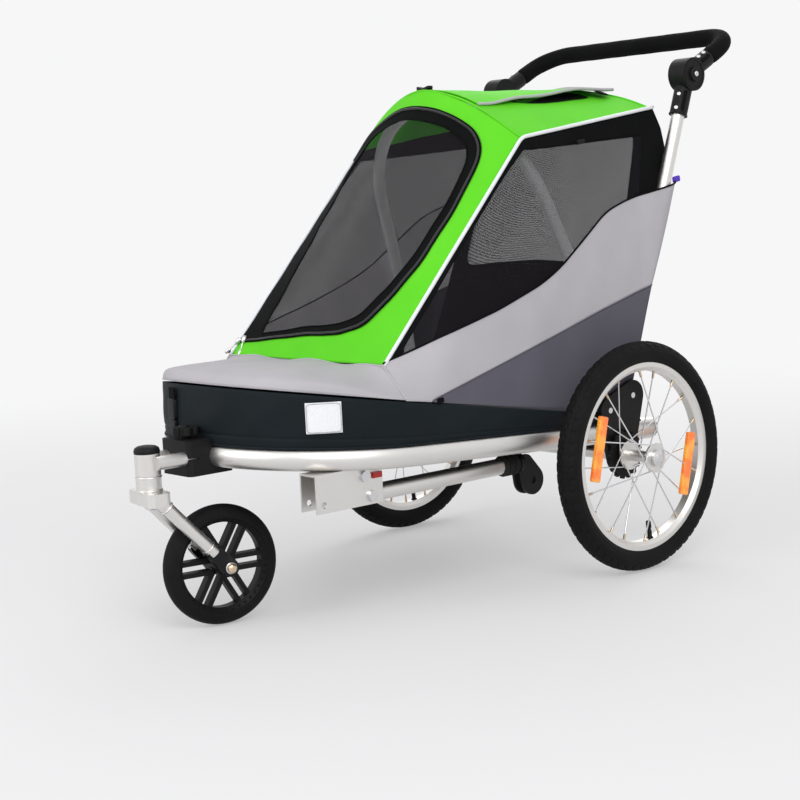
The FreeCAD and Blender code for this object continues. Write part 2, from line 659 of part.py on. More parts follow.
def skirt_top(x):
    """Height of the skirt's top edge over the tube axis: a straight rise from rear to nose."""
    length = d.frame_nose + d.skirt_offset + d.skirt_rear_station
    rise = (d.skirt_nose_height - d.skirt_rear_height) / length
    return d.skirt_rear_height + rise * (x + d.skirt_rear_station)


reach = d.frame_nose + d.skirt_offset + d.overrun
back = d.skirt_rear_station + d.overrun
slope = [Vector(-back, -reach, skirt_top(-back)), Vector(reach, -reach, skirt_top(reach)),
         Vector(reach, -reach, d.skirt_nose_height * 2), Vector(-back, -reach, d.skirt_nose_height * 2)]
skirt_room = Part.Face(Part.makePolygon(slope + slope[:1])).extrude(Vector(0, reach * 2, 0))
bow_pin_room = Part.makeCylinder(d.pivot_pin_radius + d.seam_gap, wide * 2,
                                 station(d.bow_pivot_x, -wide, d.bow_pivot_z), Y_AXIS)
skirt = skirt.cut(skirt_room)
skirt.Placement = deck_place
shaped("skirt", skirt.cut(bow_pin_room))


# Rear frame: two posts that fold forward about the bracket pins and carry the handle hinges
post_foot = station(d.post_pivot_x, d.post_half_width, d.post_pivot_z)
handle_pivot = station(d.handle_pivot_x, d.post_half_width, d.handle_pivot_z)
post_way = (handle_pivot - post_foot).normalize()
foot_end = post_foot + post_way * d.foot_length
post_top = handle_pivot - post_way * (d.handle_disc_radius + d.side_clearance)
post_low = post_foot + post_way * (d.foot_radius + d.side_clearance)
post_bar = bar(post_low, post_top, d.post_radius)
post_tube = post_bar.cut(bar(post_low, post_top, d.post_radius - d.post_wall))
shaped("posts", pair(post_tube))

eye = Part.makeCylinder(d.foot_radius, d.foot_radius * 2, post_foot - Y_AXIS * d.foot_radius, Y_AXIS)
eye_bore = Part.makeCylinder(d.pivot_pin_radius + d.running_clearance, d.foot_radius * 2 + d.overrun * 2,
                             post_foot - Y_AXIS * (d.foot_radius + d.overrun), Y_AXIS)
foot = eye.fuse(bar(post_foot, foot_end, d.foot_radius)).cut(post_bar).cut(eye_bore)
shaped("post_feet", pair(foot))

# Handle hinges: two discs meet at the tube's own plane, the inner on the post and the outer on the handle
disc_half = d.handle_disc_thickness - d.side_clearance / 2
inner_disc = Part.makeCylinder(d.handle_disc_radius, disc_half,
                               handle_pivot - Y_AXIS * d.handle_disc_thickness, Y_AXIS)
room_radius = d.handle_disc_radius + d.side_clearance
outer_room = Part.makeCylinder(room_radius, d.handle_disc_thickness * 2,
                               handle_pivot - Y_AXIS * (d.side_clearance / 2), Y_AXIS)
inner_room = Part.makeCylinder(room_radius, d.handle_disc_thickness * 2,
                               handle_pivot + Y_AXIS * (d.side_clearance / 2), Y_AXIS * -1)
sleeve = bar(handle_pivot, handle_pivot - post_way * d.socket_length, d.socket_radius)
socket = inner_disc.fuse(sleeve.cut(outer_room)).cut(post_bar)
pin_start = handle_pivot - Y_AXIS * d.handle_disc_thickness
pin_length = d.handle_disc_thickness * 2 - d.button_height - d.side_clearance * 2
hinge_pin = Part.makeCylinder(d.pivot_pin_radius, pin_length, pin_start, Y_AXIS)
shaped("handle_sockets", pair(socket.cut(hinge_pin)))
shaped("handle_pins", pair(hinge_pin))

# Handle: a bent tube between the two outer discs, with a foam grip on its crossbar
rise = math.radians(d.handle_rise_deg)
arm_way = Vector(-math.cos(rise), 0, math.sin(rise))
bar_end = handle_pivot + arm_way * d.handle_reach
arm_start = handle_pivot + arm_way * (d.handle_disc_radius + d.side_clearance)
to_right = Y_AXIS * (-d.post_half_width * 2)
handle_path = rounded_path([arm_start, bar_end, bar_end + to_right, arm_start + to_right],
                           [d.handle_corner_radius, d.handle_corner_radius])
shaped("handle_bar", bent_tube(handle_path, d.handle_tube_radius, d.handle_tube_wall))
grip_start = arm_start + arm_way * d.grip_start
grip_path = rounded_path([grip_start, bar_end, bar_end + to_right, grip_start + to_right],
                         [d.handle_corner_radius, d.handle_corner_radius])
shaped("handle_grip", bent_tube(grip_path, d.grip_radius, d.grip_radius - d.handle_tube_radius))

outer_disc = Part.makeCylinder(d.handle_disc_radius, disc_half,
                               handle_pivot + Y_AXIS * (d.side_clearance / 2), Y_AXIS)
arm_sleeve = bar(handle_pivot, handle_pivot + arm_way * d.handle_sleeve_length, d.socket_radius)
hub_cover = outer_disc.fuse(arm_sleeve.cut(inner_room))
hub_cover = hub_cover.cut(bar(arm_start, bar_end, d.handle_tube_radius))
button_floor = handle_pivot + Y_AXIS * (d.handle_disc_thickness - d.button_height)
recess = Part.makeCylinder(d.button_radius + d.button_clearance, d.button_height + d.overrun,
                           button_floor, Y_AXIS)
pin_room = Part.makeCylinder(d.pivot_pin_radius + d.running_clearance, d.handle_disc_thickness,
                             handle_pivot - Y_AXIS * d.overrun, Y_AXIS)
shaped("handle_hubs", pair(hub_cover.cut(recess).cut(pin_room)))

# Release buttons: each stands proud of its disc by its travel
for side_name, side in SIDES:
    stand = d.post_half_width + d.handle_disc_thickness - d.button_height
    stand = stand + d.button_travel + d.button_clearance
    button = turned(f"{side_name}_button", [(0, 0), (d.button_radius, 0),
                                            (d.button_radius, d.button_height - d.button_clearance * 4),
                                            (d.button_radius - d.button_clearance * 4, d.button_height),
                                            (0, d.button_height)])
    node(place(button, axle_x + d.handle_pivot_x, stand * side, d.handle_pivot_z, along_y(side)),
         f"{side_name}_release_button")

# Bow: one bent tube that arches over the cabin and folds about its own pins
bow_foot = station(d.bow_pivot_x, d.post_half_width, d.bow_pivot_z)
bow_elbow = station(d.bow_elbow_x, d.bow_elbow_half_width, d.bow_elbow_z)
bow_top = station(d.bow_crown_x, d.bow_crown_half_width, d.bow_crown_z)


def opposite(point):
    return Vector(point.x, -point.y, point.z)


leg_way = (bow_elbow - bow_foot).normalize()
corner_half = (bow_elbow - bow_top).getAngle(Vector(0, -1, 0)) / 2
crown_radius = d.bow_crown_half_width * math.tan(corner_half)
leg_start = bow_foot + leg_way * d.bow_foot_radius
bow_path = rounded_path([leg_start, bow_elbow, bow_top, opposite(bow_top), opposite(bow_elbow),
                         opposite(leg_start)],
                        [d.bow_elbow_radius, crown_radius, crown_radius, d.bow_elbow_radius])
shaped("bow_tube", bent_tube(bow_path, d.bow_radius, d.bow_wall))
bow_eye = Part.makeCylinder(d.bow_foot_radius, d.bow_foot_radius * 2,
                            bow_foot - Y_AXIS * d.bow_foot_radius, Y_AXIS)
bow_eye = bow_eye.fuse(bar(bow_foot, bow_foot + leg_way * d.foot_length, d.bow_foot_radius))
bow_eye = bow_eye.cut(bar(leg_start, bow_elbow, d.bow_radius))
bow_bore = Part.makeCylinder(d.pivot_pin_radius + d.running_clearance, d.foot_length,
                             bow_foot - Y_AXIS * (d.foot_length / 2), Y_AXIS)
shaped("bow_feet", pair(bow_eye.cut(bow_bore)))


# Front wheel: the clamp and yoke are fixed to the nose, the fork swivels under the head sleeve
head_axis = station(d.head_station, 0, 0)
nose_z = deck_height(d.frame_nose)
head_top = nose_z + d.head_over_nose
head_split = nose_z - d.split_under_nose
head_bottom = nose_z - d.head_under_nose
yoke_start = d.frame_nose + d.frame_tube_radius + d.side_clearance
yoke_bars = [bar(station(yoke_start, d.yoke_half_width * sign, nose_z),
                 station(d.head_station, d.yoke_half_width * sign, nose_z), d.yoke_tube_radius)
             for sign in (-1, 1)]
sleeve = Part.makeCylinder(d.head_radius, head_top - head_split, head_axis + Z_AXIS * head_split)
stem = Part.makeCylinder(d.stem_radius, head_top - head_bottom + d.nut_height + d.side_clearance,
                         head_axis + Z_AXIS * (head_bottom - d.nut_height - d.side_clearance))
shaped("caster_yoke", sleeve.fuse(yoke_bars).cut(stem))
NUT_SIDES = 6
nut_turns = [2 * math.pi * index / NUT_SIDES for index in range(NUT_SIDES + 1)]
hexagon = [Vector(d.nut_radius * math.cos(turn), d.nut_radius * math.sin(turn), 0) for turn in nut_turns]
nut = Part.Face(Part.makePolygon(hexagon)).extrude(Vector(0, 0, d.nut_height))
nut.translate(head_axis + Z_AXIS * (head_bottom - d.nut_height - d.side_clearance))
shaped("stem_bolt", stem.fuse(nut))
cap = turned("head_cap_body", [(0, 0), (d.head_radius, 0), (d.head_radius, d.cap_height / 2),
                               (d.head_radius / 2, d.cap_height), (0, d.cap_height)])
node(place(cap, axle_x + d.head_station, 0, head_top), "head_cap")

clamp_half = d.frame_tube_radius + d.clamp_wall
clamp_back = d.frame_nose - clamp_half
clamp = Part.makeBox(d.clamp_length, d.clamp_width, clamp_half * 2,
                     station(clamp_back, -d.clamp_width / 2, nose_z - clamp_half))


def upright_edges(box):
    """The four upright edges of a box."""
    return [edge for edge in box.Edges
            if edge.tangentAt(edge.FirstParameter).cross(Z_AXIS).Length < JOIN_TOLERANCE]


clamp = clamp.makeFillet(d.clamp_wall, upright_edges(clamp))
stud_foot = station(d.knob_station, 0, nose_z - clamp_half)
stud_room = Part.makeCylinder(d.stud_radius + d.running_clearance, clamp_half * 2, stud_foot)
clamp_parting = Part.makeBox(d.clamp_length, d.clamp_width, d.overrun,
                             station(d.frame_nose + d.frame_tube_radius * 2, -d.clamp_width / 2,
                                     nose_z - d.overrun / 2))
skirt_front = d.frame_nose + d.skirt_offset + d.side_clearance
cloth_room = Part.makeBox(skirt_front - clamp_back, d.clamp_width, clamp_half,
                          station(clamp_back, -d.clamp_width / 2,
                                  nose_z + d.frame_tube_radius - d.clamp_wall))
shaped("caster_clamp", clamp.cut([frame_core, stud_room, clamp_parting, cloth_room] + yoke_bars))

# Star knob: five lobes on a neck, turning with its stud
knob_low = nose_z + clamp_half + d.side_clearance
lobe_circle = d.knob_radius - d.knob_lobe_radius
knob = Part.makeCylinder(lobe_circle, d.knob_height - d.knob_neck,
                         station(d.knob_station, 0, knob_low + d.knob_neck))
for index in range(int(d.knob_lobes)):
    turn = 2 * math.pi * index / int(d.knob_lobes)
    spot = station(d.knob_station + lobe_circle * math.cos(turn), lobe_circle * math.sin(turn),
                   knob_low + d.knob_neck)
    knob = knob.fuse(Part.makeCylinder(d.knob_lobe_radius, d.knob_height - d.knob_neck, spot))
knob = knob.removeSplitter()
neck = Part.makeCylinder(d.stud_radius * 2, d.knob_neck, station(d.knob_station, 0, knob_low))
knob = knob.fuse(neck)
stud = Part.makeCylinder(d.stud_radius, clamp_half * 2 + d.knob_neck, stud_foot)
shaped("star_knob", knob.cut(stud))
shaped("knob_stud", stud)

# Fork and wheel: built about the head axis pointing straight back, then turned to the swivel
swivel = Placement(head_axis, Rotation(Z_AXIS, d.caster_swivel_deg))
wheel_centre = Vector(-d.caster_trail, 0, d.caster_radius)
fork_top = head_split - d.side_clearance
fork = Part.makeCylinder(d.head_radius, fork_top - head_bottom, Z_AXIS * head_bottom)
crown_half = d.fork_half_width + d.fork_leg_radius
crown = Part.makeBox(d.crown_length, crown_half * 2, d.crown_height,
                     Vector(-d.crown_length / 2, -crown_half, head_bottom))
fork = fork.fuse(crown.makeFillet(d.fork_leg_radius, upright_edges(crown)))
tips = []
for sign in (-1, 1):
    top = Vector(0, d.fork_half_width * sign, head_bottom + d.crown_height / 2)
    foot = wheel_centre + Y_AXIS * (d.fork_half_width * sign)
    leg_end = foot + (top - foot).normalize() * d.fork_tip_reach
    fork = fork.fuse(bar(top, leg_end, d.fork_leg_radius))
    inner = d.caster_hub_half_width + d.side_clearance
    flat = d.fork_half_width - d.fork_tip_thickness / 2
    tip = belt([(foot.x, foot.z, d.fork_tip_radius), (leg_end.x, leg_end.z, d.fork_leg_radius + d.overrun)],
               flat * sign, sign, d.fork_tip_thickness)
    boss = Part.makeCylinder(d.caster_bolt_head_radius, flat - inner, wheel_centre + Y_AXIS * (inner * sign),
                             Y_AXIS * sign)
    tips.append(tip.fuse(boss))
stem_room = Part.makeCylinder(d.stem_radius + d.running_clearance, fork_top, Vector())
fork_face = d.fork_half_width + d.fork_tip_thickness / 2
caster_bolt = Part.makeCylinder(d.caster_axle_radius, fork_face * 2, wheel_centre - Y_AXIS * fork_face, Y_AXIS)
shaped("caster_fork", fork.cut([stem_room] + tips), swivel)
shaped("fork_tips", Part.makeCompound([tip.cut(caster_bolt) for tip in tips]), swivel)
for sign in (-1, 1):
    caster_bolt = caster_bolt.fuse(Part.makeCylinder(
        d.caster_bolt_head_radius, d.caster_bolt_head_height,
        wheel_centre + Y_AXIS * (fork_face * sign), Y_AXIS * sign))
shaped("caster_axle", caster_bolt, swivel)

wheel_turn = Placement(wheel_centre, along_y())
caster_place = swivel.multiply(wheel_turn)
caster_half = d.caster_width / 2
hub_half = d.caster_hub_half_width
bearing_low = hub_half - d.caster_bearing_width
CASTER_BORE_SHARE = 0.6
CASTER_RIM_SHARE = 0.8
bore = d.caster_bearing_radius * CASTER_BORE_SHARE
caster_hub = turned("caster_hub", [(bore, -bearing_low), (d.caster_bearing_radius, -bearing_low),
                                   (d.caster_bearing_radius, -hub_half), (d.caster_hub_radius, -hub_half),
                                   (d.caster_hub_radius, hub_half), (d.caster_bearing_radius, hub_half),
                                   (d.caster_bearing_radius, bearing_low), (bore, bearing_low)])
rim_half = caster_half * CASTER_RIM_SHARE
caster_rim = turned("caster_rim", [(d.caster_opening_radius, -rim_half / 2), (d.caster_rim_radius, -rim_half),
                                   (d.caster_rim_radius, rim_half), (d.caster_opening_radius, rim_half / 2)])
document.recompute()
spoke_start = d.caster_hub_radius - d.caster_spoke_width
spoke_end = d.caster_opening_radius + d.caster_spoke_width / 2
spoke_bars = []
for index in range(int(d.caster_spoke_pairs)):
    for sign in (-1, 1):
        spoke = Part.makeBox(spoke_end - spoke_start, d.caster_spoke_width, d.caster_spoke_depth,
                             Vector(spoke_start, d.caster_spoke_spread / 2 * sign - d.caster_spoke_width / 2,
                                    -d.caster_spoke_depth / 2))
        spoke.rotate(Vector(), Z_AXIS, 360 * index / int(d.caster_spoke_pairs))
        spoke_bars.append(spoke)
bearing_seat = Part.makeCylinder(d.caster_bearing_radius, hub_half * 2, Vector(0, 0, -hub_half))
wheel_shape = caster_hub.Shape.fuse([caster_rim.Shape] + [spoke.cut(bearing_seat) for spoke in spoke_bars])
shaped("caster_wheel", wheel_shape, caster_place)

CASTER_SHOULDER_SHARES = (0.72, 0.78)
tyre_depth = d.caster_radius - d.caster_rim_radius
shoulder_radius = d.caster_rim_radius + tyre_depth * CASTER_SHOULDER_SHARES[0]
shoulder = Vector(shoulder_radius, 0, caster_half * CASTER_SHOULDER_SHARES[1])
bead = Vector(d.caster_rim_radius, 0, rim_half)
belly = Vector(d.caster_rim_radius + tyre_depth / 3, 0, caster_half)


def flipped(point):
    """The same point on the other flank."""
    return Vector(point.x, 0, -point.z)


tyre_edges = [Part.Arc(bead, belly, shoulder),
              Part.Arc(shoulder, Vector(d.caster_radius, 0, 0), flipped(shoulder)),
              Part.Arc(flipped(shoulder), flipped(belly), flipped(bead)),
              Part.LineSegment(flipped(bead), bead)]
tyre_face = Part.Face(Part.Wire([edge.toShape() for edge in tyre_edges]))
shaped("caster_tyre", tyre_face.revolve(Vector(), Z_AXIS, 360), caster_place)
caster_rings = []
for sign in (-1, 1):
    low = bearing_low if sign > 0 else -hub_half
    ring = Part.makeCylinder(d.caster_bearing_radius, d.caster_bearing_width, Vector(0, 0, low))
    inside = Part.makeCylinder(d.caster_axle_radius + d.running_clearance, d.caster_bearing_width,
                               Vector(0, 0, low))
    caster_rings.append(ring.cut(inside))
shaped("caster_bearings", Part.makeCompound(caster_rings), caster_place)


# Tow arm: an inverted channel under the left front curve, and an arm that swings down and forward
bend = d.frame_nose - d.frame_corner_radius
channel_middle = (d.channel_front + d.channel_rear) / 2
tube_y = d.nose_flat_half + math.sqrt(d.frame_corner_radius * d.frame_corner_radius
                                      - (channel_middle - bend) * (channel_middle - bend))
tow_y = tube_y - d.tow_inset
channel_half = d.channel_width / 2
channel_top = deck_height(channel_middle) - d.frame_tube_radius + d.channel_wall / 2
channel = Part.makeBox(d.channel_length, d.channel_width, channel_top - d.channel_bottom,
                       station(d.channel_rear, tow_y - channel_half, d.channel_bottom))
channel = channel.cut(Part.makeBox(d.channel_length, d.channel_width - d.channel_wall * 2,
                                   channel_top - d.channel_bottom - d.channel_wall,
                                   station(d.channel_rear, tow_y - channel_half + d.channel_wall,
                                           d.channel_bottom)))
tow_pivot = station(d.tow_pivot_station, tow_y, d.tow_pivot_z)
upper_bolt = tow_pivot + Vector(d.tow_tube_radius, 0, d.tow_tube_radius * 2 + d.tow_bolt_radius)
lock_hole = station(d.channel_front - d.tow_tube_radius, tow_y, d.tow_pivot_z)
bolts = []
for spot in (tow_pivot, upper_bolt):
    shank = Part.makeCylinder(d.tow_bolt_radius, d.channel_width, spot - Y_AXIS * channel_half, Y_AXIS)
    for sign in (-1, 1):
        head = Part.makeCylinder(d.tow_bolt_head_radius, d.tow_bolt_head_height,
                                 spot + Y_AXIS * (channel_half * sign), Y_AXIS * sign)
        shank = shank.fuse(head)
    bolts.append(shank)
lock_drill = Part.makeCylinder(d.tow_bolt_radius, d.channel_width + d.overrun * 2,
                               lock_hole - Y_AXIS * (channel_half + d.overrun), Y_AXIS)
shaped("tow_bracket", channel.cut([frame_core, lock_drill] + bolts))
shaped("tow_bolts", Part.makeCompound(bolts))
clip_corner = tow_pivot + Vector(-d.tow_bolt_head_radius * 2, channel_half, d.tow_tube_radius * 2)
shaped("tow_clip", Part.makeBox(d.tow_bolt_head_radius * 2, d.tow_bolt_head_height, d.tow_bolt_head_radius,
                                clip_corner))

tube_end = station(d.tow_tube_end, tow_y, d.tow_pivot_z)
tow_tube = bar(tow_pivot, tube_end, d.tow_tube_radius)
tow_tube = tow_tube.cut(bar(tow_pivot, tube_end, d.tow_tube_radius - d.tow_tube_wall))
eye_half = channel_half - d.channel_wall - d.side_clearance
tow_eye = Part.makeCylinder(d.tow_tube_radius, eye_half * 2, tow_pivot - Y_AXIS * eye_half, Y_AXIS)
tow_bore = Part.makeCylinder(d.tow_bolt_radius + d.running_clearance, d.channel_width,
                             tow_pivot - Y_AXIS * channel_half, Y_AXIS)
shaped("tow_tube", tow_tube.fuse(tow_eye).cut(tow_bore))

# Hitch: a ribbed rubber joint and a two-cheek steel coupler
BUMPER_RIBS = 3
rib = d.bumper_length / BUMPER_RIBS
bumper_outline = [(0, 0)]
for index in range(BUMPER_RIBS):
    bumper_outline += [(d.bumper_radius - d.coupler_thickness / 2, rib * index),
                       (d.bumper_radius, rib * index + rib / 4),
                       (d.bumper_radius, rib * (index + 1) - rib / 4)]
bumper_outline += [(d.bumper_radius - d.coupler_thickness / 2, d.bumper_length), (0, d.bumper_length)]
bumper = turned("hitch_bumper_body", bumper_outline)
back_along_x = Rotation(Y_AXIS, -90)
node(place(bumper, axle_x + d.tow_tube_end, tow_y, d.tow_pivot_z, back_along_x), "hitch_bumper")
block_end = tube_end - Vector(d.bumper_length, 0, 0)
block = bar(block_end, block_end - Vector(d.coupler_thickness * 2, 0, 0), d.bumper_radius)
eye_centre = block_end - Vector(d.coupler_length, 0, d.coupler_drop)
coupler = block
for sign in (-1, 1):
    cheek = belt([(block_end.x - d.coupler_root, block_end.z, d.coupler_root),
                  (eye_centre.x, eye_centre.z, d.coupler_eye_radius)],
                 tow_y + d.coupler_gap / 2 * sign, sign, d.coupler_thickness)
    coupler = coupler.fuse(cheek)
hitch_bore = Part.makeCylinder(d.hitch_bore_radius, d.bumper_radius * 4,
                               eye_centre - Y_AXIS * (d.bumper_radius * 2), Y_AXIS)
shaped("hitch_coupler", coupler.cut(hitch_bore))


# Cabin fabric: closed sheets that fold down with the frame
ARCH_SHARES = (-1, -0.85, -0.6, -0.3, 0, 0.3, 0.6, 0.85, 1)
RISE_SHARES = (0, 0.3, 0.55, 0.78, 1)
SIDE_BULGE = 2.2
ARCH_POWER = 1.75
cloth = d.fabric_thickness
inset = d.fabric_thickness + d.seam_gap


def mix(first, last, share):
    """The point at a share of the way between two points."""
    return first + (last - first) * share


def skirt_edge(x, y, lift=0):
    """A point of the hem just over the skirt's top edge."""
    return on_deck(x, y, skirt_top(x) + d.hem_gap + lift)


def arch(x, crown_x, half_width, low, share):
    """A point of a roof arch: the lift falls off as a power of the share of the half width."""
    lift = 1 - abs(share) ** ARCH_POWER
    return station(x + (crown_x - x) * lift, half_width * share, low + (d.roof_crown_z - low) * lift)


def front_arch(share, back=0):
    return arch(d.roof_front_station - back, d.roof_crown_station - back, d.roof_half_width - inset,
                d.roof_front_z, share)


def rear_arch(share, ahead=0):
    return arch(d.roof_rear_station + ahead, d.roof_rear_station + ahead, d.roof_half_width - inset,
                d.roof_rear_z, share)


# Nose cover: from the skirt's edge round the nose back to the straight seam under the front panel
NOSE_TURN_SHARES = (1, 0.75, 0.5, 0.25, 0)
NOSE_SEAM_SHARES = (1, 0.8, 0.6, 0.35, 0.12)
nose_seam = d.nose_seam_station + inset
bend_radius = d.frame_corner_radius + d.skirt_offset
bend_y = d.frame_half_width - d.frame_corner_radius
first_turn = math.acos((nose_seam - bend) / bend_radius)
edge_row = []
seam_row = []
for turn_share, seam_share in zip(NOSE_TURN_SHARES, NOSE_SEAM_SHARES):
    turn = first_turn * turn_share
    edge_row.append(skirt_edge(bend + bend_radius * math.cos(turn), bend_y + bend_radius * math.sin(turn),
                               cloth))
    seam_row.append(station(nose_seam, d.nose_seam_half_width * seam_share, d.nose_seam_z))
edge_row = [opposite(point) for point in edge_row] + edge_row[::-1]
seam_row = [opposite(point) for point in seam_row] + seam_row[::-1]
shaped("nose_cover", sheet_solid([edge_row, seam_row], cloth))

# Front panel with its window, ruled from the nose seam to the roof arch
nose_line = [station(d.nose_seam_station, (d.nose_seam_half_width - inset) * share, d.nose_seam_z)
             for share in ARCH_SHARES]
arch_line = [front_arch(share) for share in ARCH_SHARES]
front_rows = [[mix(low, high, share) for low, high in zip(nose_line, arch_line)] for share in RISE_SHARES]
front_sheet = sheet_solid(front_rows, cloth)
# The window is a door: its zip leaves a strip of the panel at the foot, on the left and over the top
FRONT_WINDOW_SHARES = ((-0.9, 0.15), (0.52, 0.15), (0.7, 0.3), (0.7, 0.72), (0.4, 0.86), (-0.4, 0.86),
                       (-0.82, 0.78))


def front_point(across, rise):
    """A point of the front panel, straight from the nose seam to the roof arch."""
    foot = station(d.nose_seam_station, (d.nose_seam_half_width - inset) * across, d.nose_seam_z)
    return mix(foot, front_arch(across), rise)


window_corners = [front_point(across, rise) for across, rise in FRONT_WINDOW_SHARES]
window_ring = [station(0, point.y, point.z) for point in window_corners]
window_prism = Part.Face(Part.makePolygon(window_ring + window_ring[:1])).extrude(
    Vector(d.nose_seam_station * 2, 0, 0))
shaped("front_panel", front_sheet.cut(window_prism))
shaped("front_window", front_sheet.common(window_prism))

# Roof, its vent flap and the rear panel
FLAP_LIFTS = ((0.04, 0), (0.5, 1), (1, 0.8))
FLAP_ACROSS_SHARES = ARCH_SHARES[2:-2]
roof_rows = [[mix(front_arch(share, inset), rear_arch(share, inset * 2), along) for share in ARCH_SHARES]
             for along in (0, 0.5, 1)]
shaped("roof_panel", sheet_solid(roof_rows, cloth))
flap_rows = [[mix(front_arch(share, inset), rear_arch(share, inset), along)
              + Z_AXIS * (cloth + d.seam_gap * 3 + d.flap_lift * lift) for share in FLAP_ACROSS_SHARES]
             for along, lift in FLAP_LIFTS]
shaped("roof_flap", sheet_solid(flap_rows, cloth))


def rear_edge(z):
    """Station of the cabin's rear edge: in front of the posts, along their lean."""
    return d.post_pivot_x + (d.handle_pivot_x - d.post_pivot_x) * (z - d.post_pivot_z) / (
        d.handle_pivot_z - d.post_pivot_z) + d.post_to_fabric


rear_low_z = skirt_edge(0, 0).z
rear_low = [station(rear_edge(rear_low_z), (wide - inset) * share, rear_low_z) for share in ARCH_SHARES]
rear_top = [rear_arch(share) for share in ARCH_SHARES]
rear_rows = [[mix(high, low, share) for low, high in zip(rear_low, rear_top)] for share in RISE_SHARES]
shaped("rear_panel", sheet_solid(rear_rows, cloth))

# Side panels with their windows: from the skirt up to the piped edge, bulging outward
RAIL_SHARES = (0, 0.35, 0.7, 1)
piped_front = station(d.nose_seam_station, d.nose_seam_half_width, d.nose_seam_z)
piped_corner = station(d.roof_front_station, d.roof_half_width, d.roof_front_z)
piped_rear = station(d.roof_rear_station, d.roof_half_width, d.roof_rear_z)
top_rail = [mix(piped_front, piped_corner, share) for share in RAIL_SHARES]
top_rail += [mix(piped_corner, piped_rear, share) for share in RAIL_SHARES[1:]]
rear_start = rear_edge(rear_low_z)
side_stations = [d.nose_seam_station + (d.roof_front_station - d.nose_seam_station) * share
                 for share in RAIL_SHARES]
side_stations += [d.roof_front_station + (rear_start - d.roof_front_station) * share
                  for share in RAIL_SHARES[1:]]
low_rail = [skirt_edge(x, wide, cloth * max(0, 1 - index / 2)) for index, x in enumerate(side_stations)]
side_rows = []
for rise in RISE_SHARES:
    row = []
    for index, (low, high) in enumerate(zip(low_rail, top_rail)):
        point = mix(low, high, rise)
        bulge = SIDE_BULGE if index else 1
        row.append(Vector(point.x, high.y + (low.y - high.y) * (1 - rise ** bulge), point.z))
    side_rows.append(row)
side_sheet = sheet_solid(side_rows, cloth)
# The window is the whole panel between a wave of solid cloth below and bands along the piping and the rear
SIDE_WINDOW_SHARES = ((0.5, 0.78), (1, 0.69), (2, 0.54), (3, 0.52), (4, 0.6), (5, 0.72), (5.3, 0.74),
                      (5.3, 0.9), (3, 0.92), (2, 0.92), (1, 0.9), (0.5, 0.86))


def side_point(along, rise):
    """A point of the side panel's plan, by its column and its share of the rise."""
    column = min(int(along), len(low_rail) - 2)
    low = mix(low_rail[column], low_rail[column + 1], along - column)
    return mix(low, mix(top_rail[column], top_rail[column + 1], along - column), rise)


side_corners = [side_point(along, rise) for along, rise in SIDE_WINDOW_SHARES]
side_ring = [Vector(point.x, 0, point.z) for point in side_corners]
side_prism = Part.Face(Part.makePolygon(side_ring + side_ring[:1])).extrude(Y_AXIS * (wide * 2))
shaped("side_panels", pair(side_sheet.cut([side_prism, bow_pin_room])))
shaped("side_windows", pair(side_sheet.common(side_prism)))

# Piping: a cord of reflective welt outside both piped edges
welt = d.piping_radius + d.seam_gap
PIPING_OUT_SHARES = ((0.59, 0.71, 0.39), (0.5, 0.9, 0.95), (0, 0.71, 0.71))
piping_path = rounded_path([point + Vector(*shares) * welt for point, shares
                            in zip((piped_front, piped_corner, piped_rear), PIPING_OUT_SHARES)],
                           [d.piping_bend])
shaped("piping", pair(bent_rod(piping_path, d.piping_radius)))


# Every object is sound before anything is written
document.recompute()
faults = [item.Label for item in document.Objects if {"Invalid", "Error"} & set(item.State)]
faults += [item.Label for item in nodes if item.Shape.isNull() or not item.Shape.isValid()]
if faults:
    raise RuntimeError("faulty objects: " + ", ".join(sorted(set(faults))))
os.makedirs("parts", exist_ok=True)
for item in nodes:
    item.Shape.exportStep(f"parts/{item.Label}.step")
print(f"{len(nodes)} nodes written")
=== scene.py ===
import json
import bmesh
import bpy
import numpy as np
from mathutils import Matrix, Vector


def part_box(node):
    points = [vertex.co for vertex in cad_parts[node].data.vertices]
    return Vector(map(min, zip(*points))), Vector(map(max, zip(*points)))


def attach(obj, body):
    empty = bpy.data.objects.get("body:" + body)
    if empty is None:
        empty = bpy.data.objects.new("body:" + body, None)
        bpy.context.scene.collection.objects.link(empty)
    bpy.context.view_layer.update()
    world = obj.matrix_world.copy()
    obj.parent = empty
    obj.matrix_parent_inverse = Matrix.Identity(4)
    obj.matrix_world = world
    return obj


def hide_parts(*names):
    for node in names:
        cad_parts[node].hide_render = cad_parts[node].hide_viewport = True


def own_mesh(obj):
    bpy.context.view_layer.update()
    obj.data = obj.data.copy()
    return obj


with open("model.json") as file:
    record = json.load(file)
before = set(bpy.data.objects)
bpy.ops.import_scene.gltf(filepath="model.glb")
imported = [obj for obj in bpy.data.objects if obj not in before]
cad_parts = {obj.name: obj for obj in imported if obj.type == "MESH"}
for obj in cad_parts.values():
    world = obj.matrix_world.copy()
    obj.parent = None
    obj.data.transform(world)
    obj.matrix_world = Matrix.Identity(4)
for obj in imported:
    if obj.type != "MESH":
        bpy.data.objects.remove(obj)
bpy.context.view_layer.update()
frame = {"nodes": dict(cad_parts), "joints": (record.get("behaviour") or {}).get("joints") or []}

nodes = frame["nodes"]


